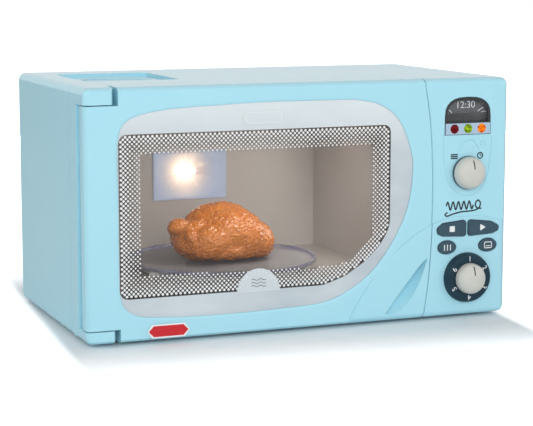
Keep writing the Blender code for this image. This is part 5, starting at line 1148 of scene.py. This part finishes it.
studio = {
    # the floor's colour, and how the lift to white grows with the distance from the case: sizes in mm
    "floor": "#E6EFF3", "halfWidth": 160, "halfDepth": 96, "turn": 5.0, "widthShare": 1.9, "depthShare": 0.16,
    "fades": ((0, 18, 0.45), (4, 34, 0.6)), "worldStrength": 0.42,
    "lens": 114.74, "eye": (-0.4630, -1.1765, 0.2571), "downwards": 8.305, "sideways": 21.765,
    "lamps": [  # name, place, target and size in metres, watts, colour, whether gloss mirrors it
        ("keyLight", (-0.55, -1.6, 0.62), (0, 0, 0.08), (1.1, 0.7), 13, (1, 1, 1), False),
        ("topLight", (0.1, -0.1, 1.5), (0, 0, 0.1), (1.2, 0.9), 0.8, (1.0, 0.93, 0.9), True),
        ("sideLight", (-1.3, -0.1, 0.6), (0, 0, 0.08), (0.8, 0.6), 3, (1.0, 0.92, 0.88), True),
        ("fillLight", (0.9, -1.2, 0.5), (0, 0, 0.08), (0.8, 0.6), 3, (1, 1, 1), False),
        ("ovenLight", (0.010, -0.055, 0.146), (-0.050, 0.060, 0.046), (0.08, 0.012), 0.052,
         (1.0, 0.93, 0.86), True),
        ("wallWash", (0.0775, -0.010, 0.10), (-1.0, -0.010, 0.10), (0.06, 0.06), 0.030, (1.0, 0.95, 0.90), True),
        ("rearFill", (0.4, 1.3, 0.09), (0, 0, 0.09), (0.9, 0.15), 4, (1, 1, 1), True)],
}


def paleFloor():
    # matt paper: seen by the camera, it is lifted to plain white round the case and keeps the shadow at its foot
    material, tree, shader, place = newMaterial("pale_floor", Roughness=0.9, Specular_IOR_Level=0.0)
    tint = clouded(tree, place, 25, studio["floor"], "#F7F8F9")
    wire(tree, shader, Base_Color=tint)
    half = (studio["halfWidth"] * mm, studio["halfDepth"] * mm, 1.0)
    # the shadow's foot is turned a little, so that it widens towards the front left
    about = addNode(tree, "ShaderNodeVectorRotate", {"rotation_type": "Z_AXIS",
                                                     "Angle": math.radians(studio["turn"])}, {"Vector": place})
    size = addNode(tree, "ShaderNodeVectorMath", {"operation": "ABSOLUTE"}, {0: about.outputs[0]})
    past = addNode(tree, "ShaderNodeVectorMath", {"operation": "SUBTRACT", 1: half}, {0: size.outputs[0]})
    kept = addNode(tree, "ShaderNodeVectorMath", {"operation": "MAXIMUM", 1: (0, 0, 0)}, {0: past.outputs[0]})
    drawn = addNode(tree, "ShaderNodeVectorMath", {"operation": "MULTIPLY", 1: (studio["widthShare"],
                                                                                studio["depthShare"], 1)},
                    {0: kept.outputs[0]})
    reach = addNode(tree, "ShaderNodeVectorMath", {"operation": "LENGTH"}, {0: drawn.outputs[0]})
    near, far = (addNode(tree, "ShaderNodeMapRange", {"interpolation_type": "SMOOTHSTEP", "From Min": start * mm,
                                                      "From Max": end * mm, "To Max": most},
                         {"Value": reach.outputs["Value"]})
                 for start, end, most in studio["fades"])
    rays = addNode(tree, "ShaderNodeLightPath")
    seen = addNode(tree, "ShaderNodeMath", {"operation": "MAXIMUM"},
                   {0: rays.outputs["Is Camera Ray"], 1: rays.outputs["Is Transmission Ray"]})
    both = addNode(tree, "ShaderNodeMath", {"operation": "ADD"}, {0: near.outputs[0], 1: far.outputs[0]})
    part = addNode(tree, "ShaderNodeMath", {"operation": "MULTIPLY"}, {0: seen.outputs[0], 1: both.outputs[0]})
    white = addNode(tree, "ShaderNodeEmission", {"Color": (1, 1, 1, 1)}, {"Strength": part.outputs[0]})
    mix = addNode(tree, "ShaderNodeAddShader", None, {0: shader.outputs[0], 1: white.outputs[0]})
    tree.links.new(mix.outputs[0], tree.nodes["Material Output"].inputs["Surface"])
    shape = bmesh.new()
    bmesh.ops.create_grid(shape, x_segments=1, y_segments=1, size=4.0)
    mesh = bpy.data.meshes.new("floor")
    shape.to_mesh(mesh)
    shape.free()
    asObject("floor", mesh, material)


def studioWorld():
    # dim for the light it sheds, plain white where it is seen, straight on, through clear plastic or in gloss
    world = bpy.data.worlds.new("studio")
    scene.world = world
    world.use_nodes = True
    tree = world.node_tree
    tree.nodes.clear()
    rays = addNode(tree, "ShaderNodeLightPath")
    seen = addNode(tree, "ShaderNodeMath", {"operation": "MAXIMUM"},
                   {0: rays.outputs["Is Camera Ray"], 1: rays.outputs["Is Transmission Ray"]})
    either = addNode(tree, "ShaderNodeMath", {"operation": "MAXIMUM"},
                     {0: seen.outputs[0], 1: rays.outputs["Is Glossy Ray"]})
    strength = addNode(tree, "ShaderNodeMapRange", {"To Min": studio["worldStrength"], "To Max": 1.0},
                       {"Value": either.outputs[0]})
    light = addNode(tree, "ShaderNodeBackground", {"Color": (1, 1, 1, 1)},
                    {"Strength": strength.outputs["Result"]})
    addNode(tree, "ShaderNodeOutputWorld", None, {"Surface": light.outputs[0]})


def softLamp(name, place, target, size, power, tint, mirrored):
    data = bpy.data.lights.new(name, "AREA")
    data.shape = "RECTANGLE"
    data.size, data.size_y = size
    data.energy = power
    data.color = tint
    lamp = bpy.data.objects.new(name, data)
    lamp.location = place
    lamp.rotation_euler = (Vector(target) - Vector(place)).to_track_quat("-Z", "Y").to_euler()
    lamp.visible_camera = False
    lamp.visible_glossy = mirrored  # a low lamp's mirror image would burn out the flat top when seen from behind
    scene.collection.objects.link(lamp)


paleFloor()
studioWorld()
for row in studio["lamps"]:
    softLamp(*row)

camera = bpy.data.cameras.new("camera")
camera.lens = studio["lens"]
camera.sensor_width = 36.0
view = bpy.data.objects.new("camera", camera)
view.location = studio["eye"]
view.rotation_euler = (math.radians(90 - studio["downwards"]), 0, math.radians(-studio["sideways"]))
scene.collection.objects.link(view)
scene.camera = view
scene.view_settings.view_transform = "Standard"
print("stage set")
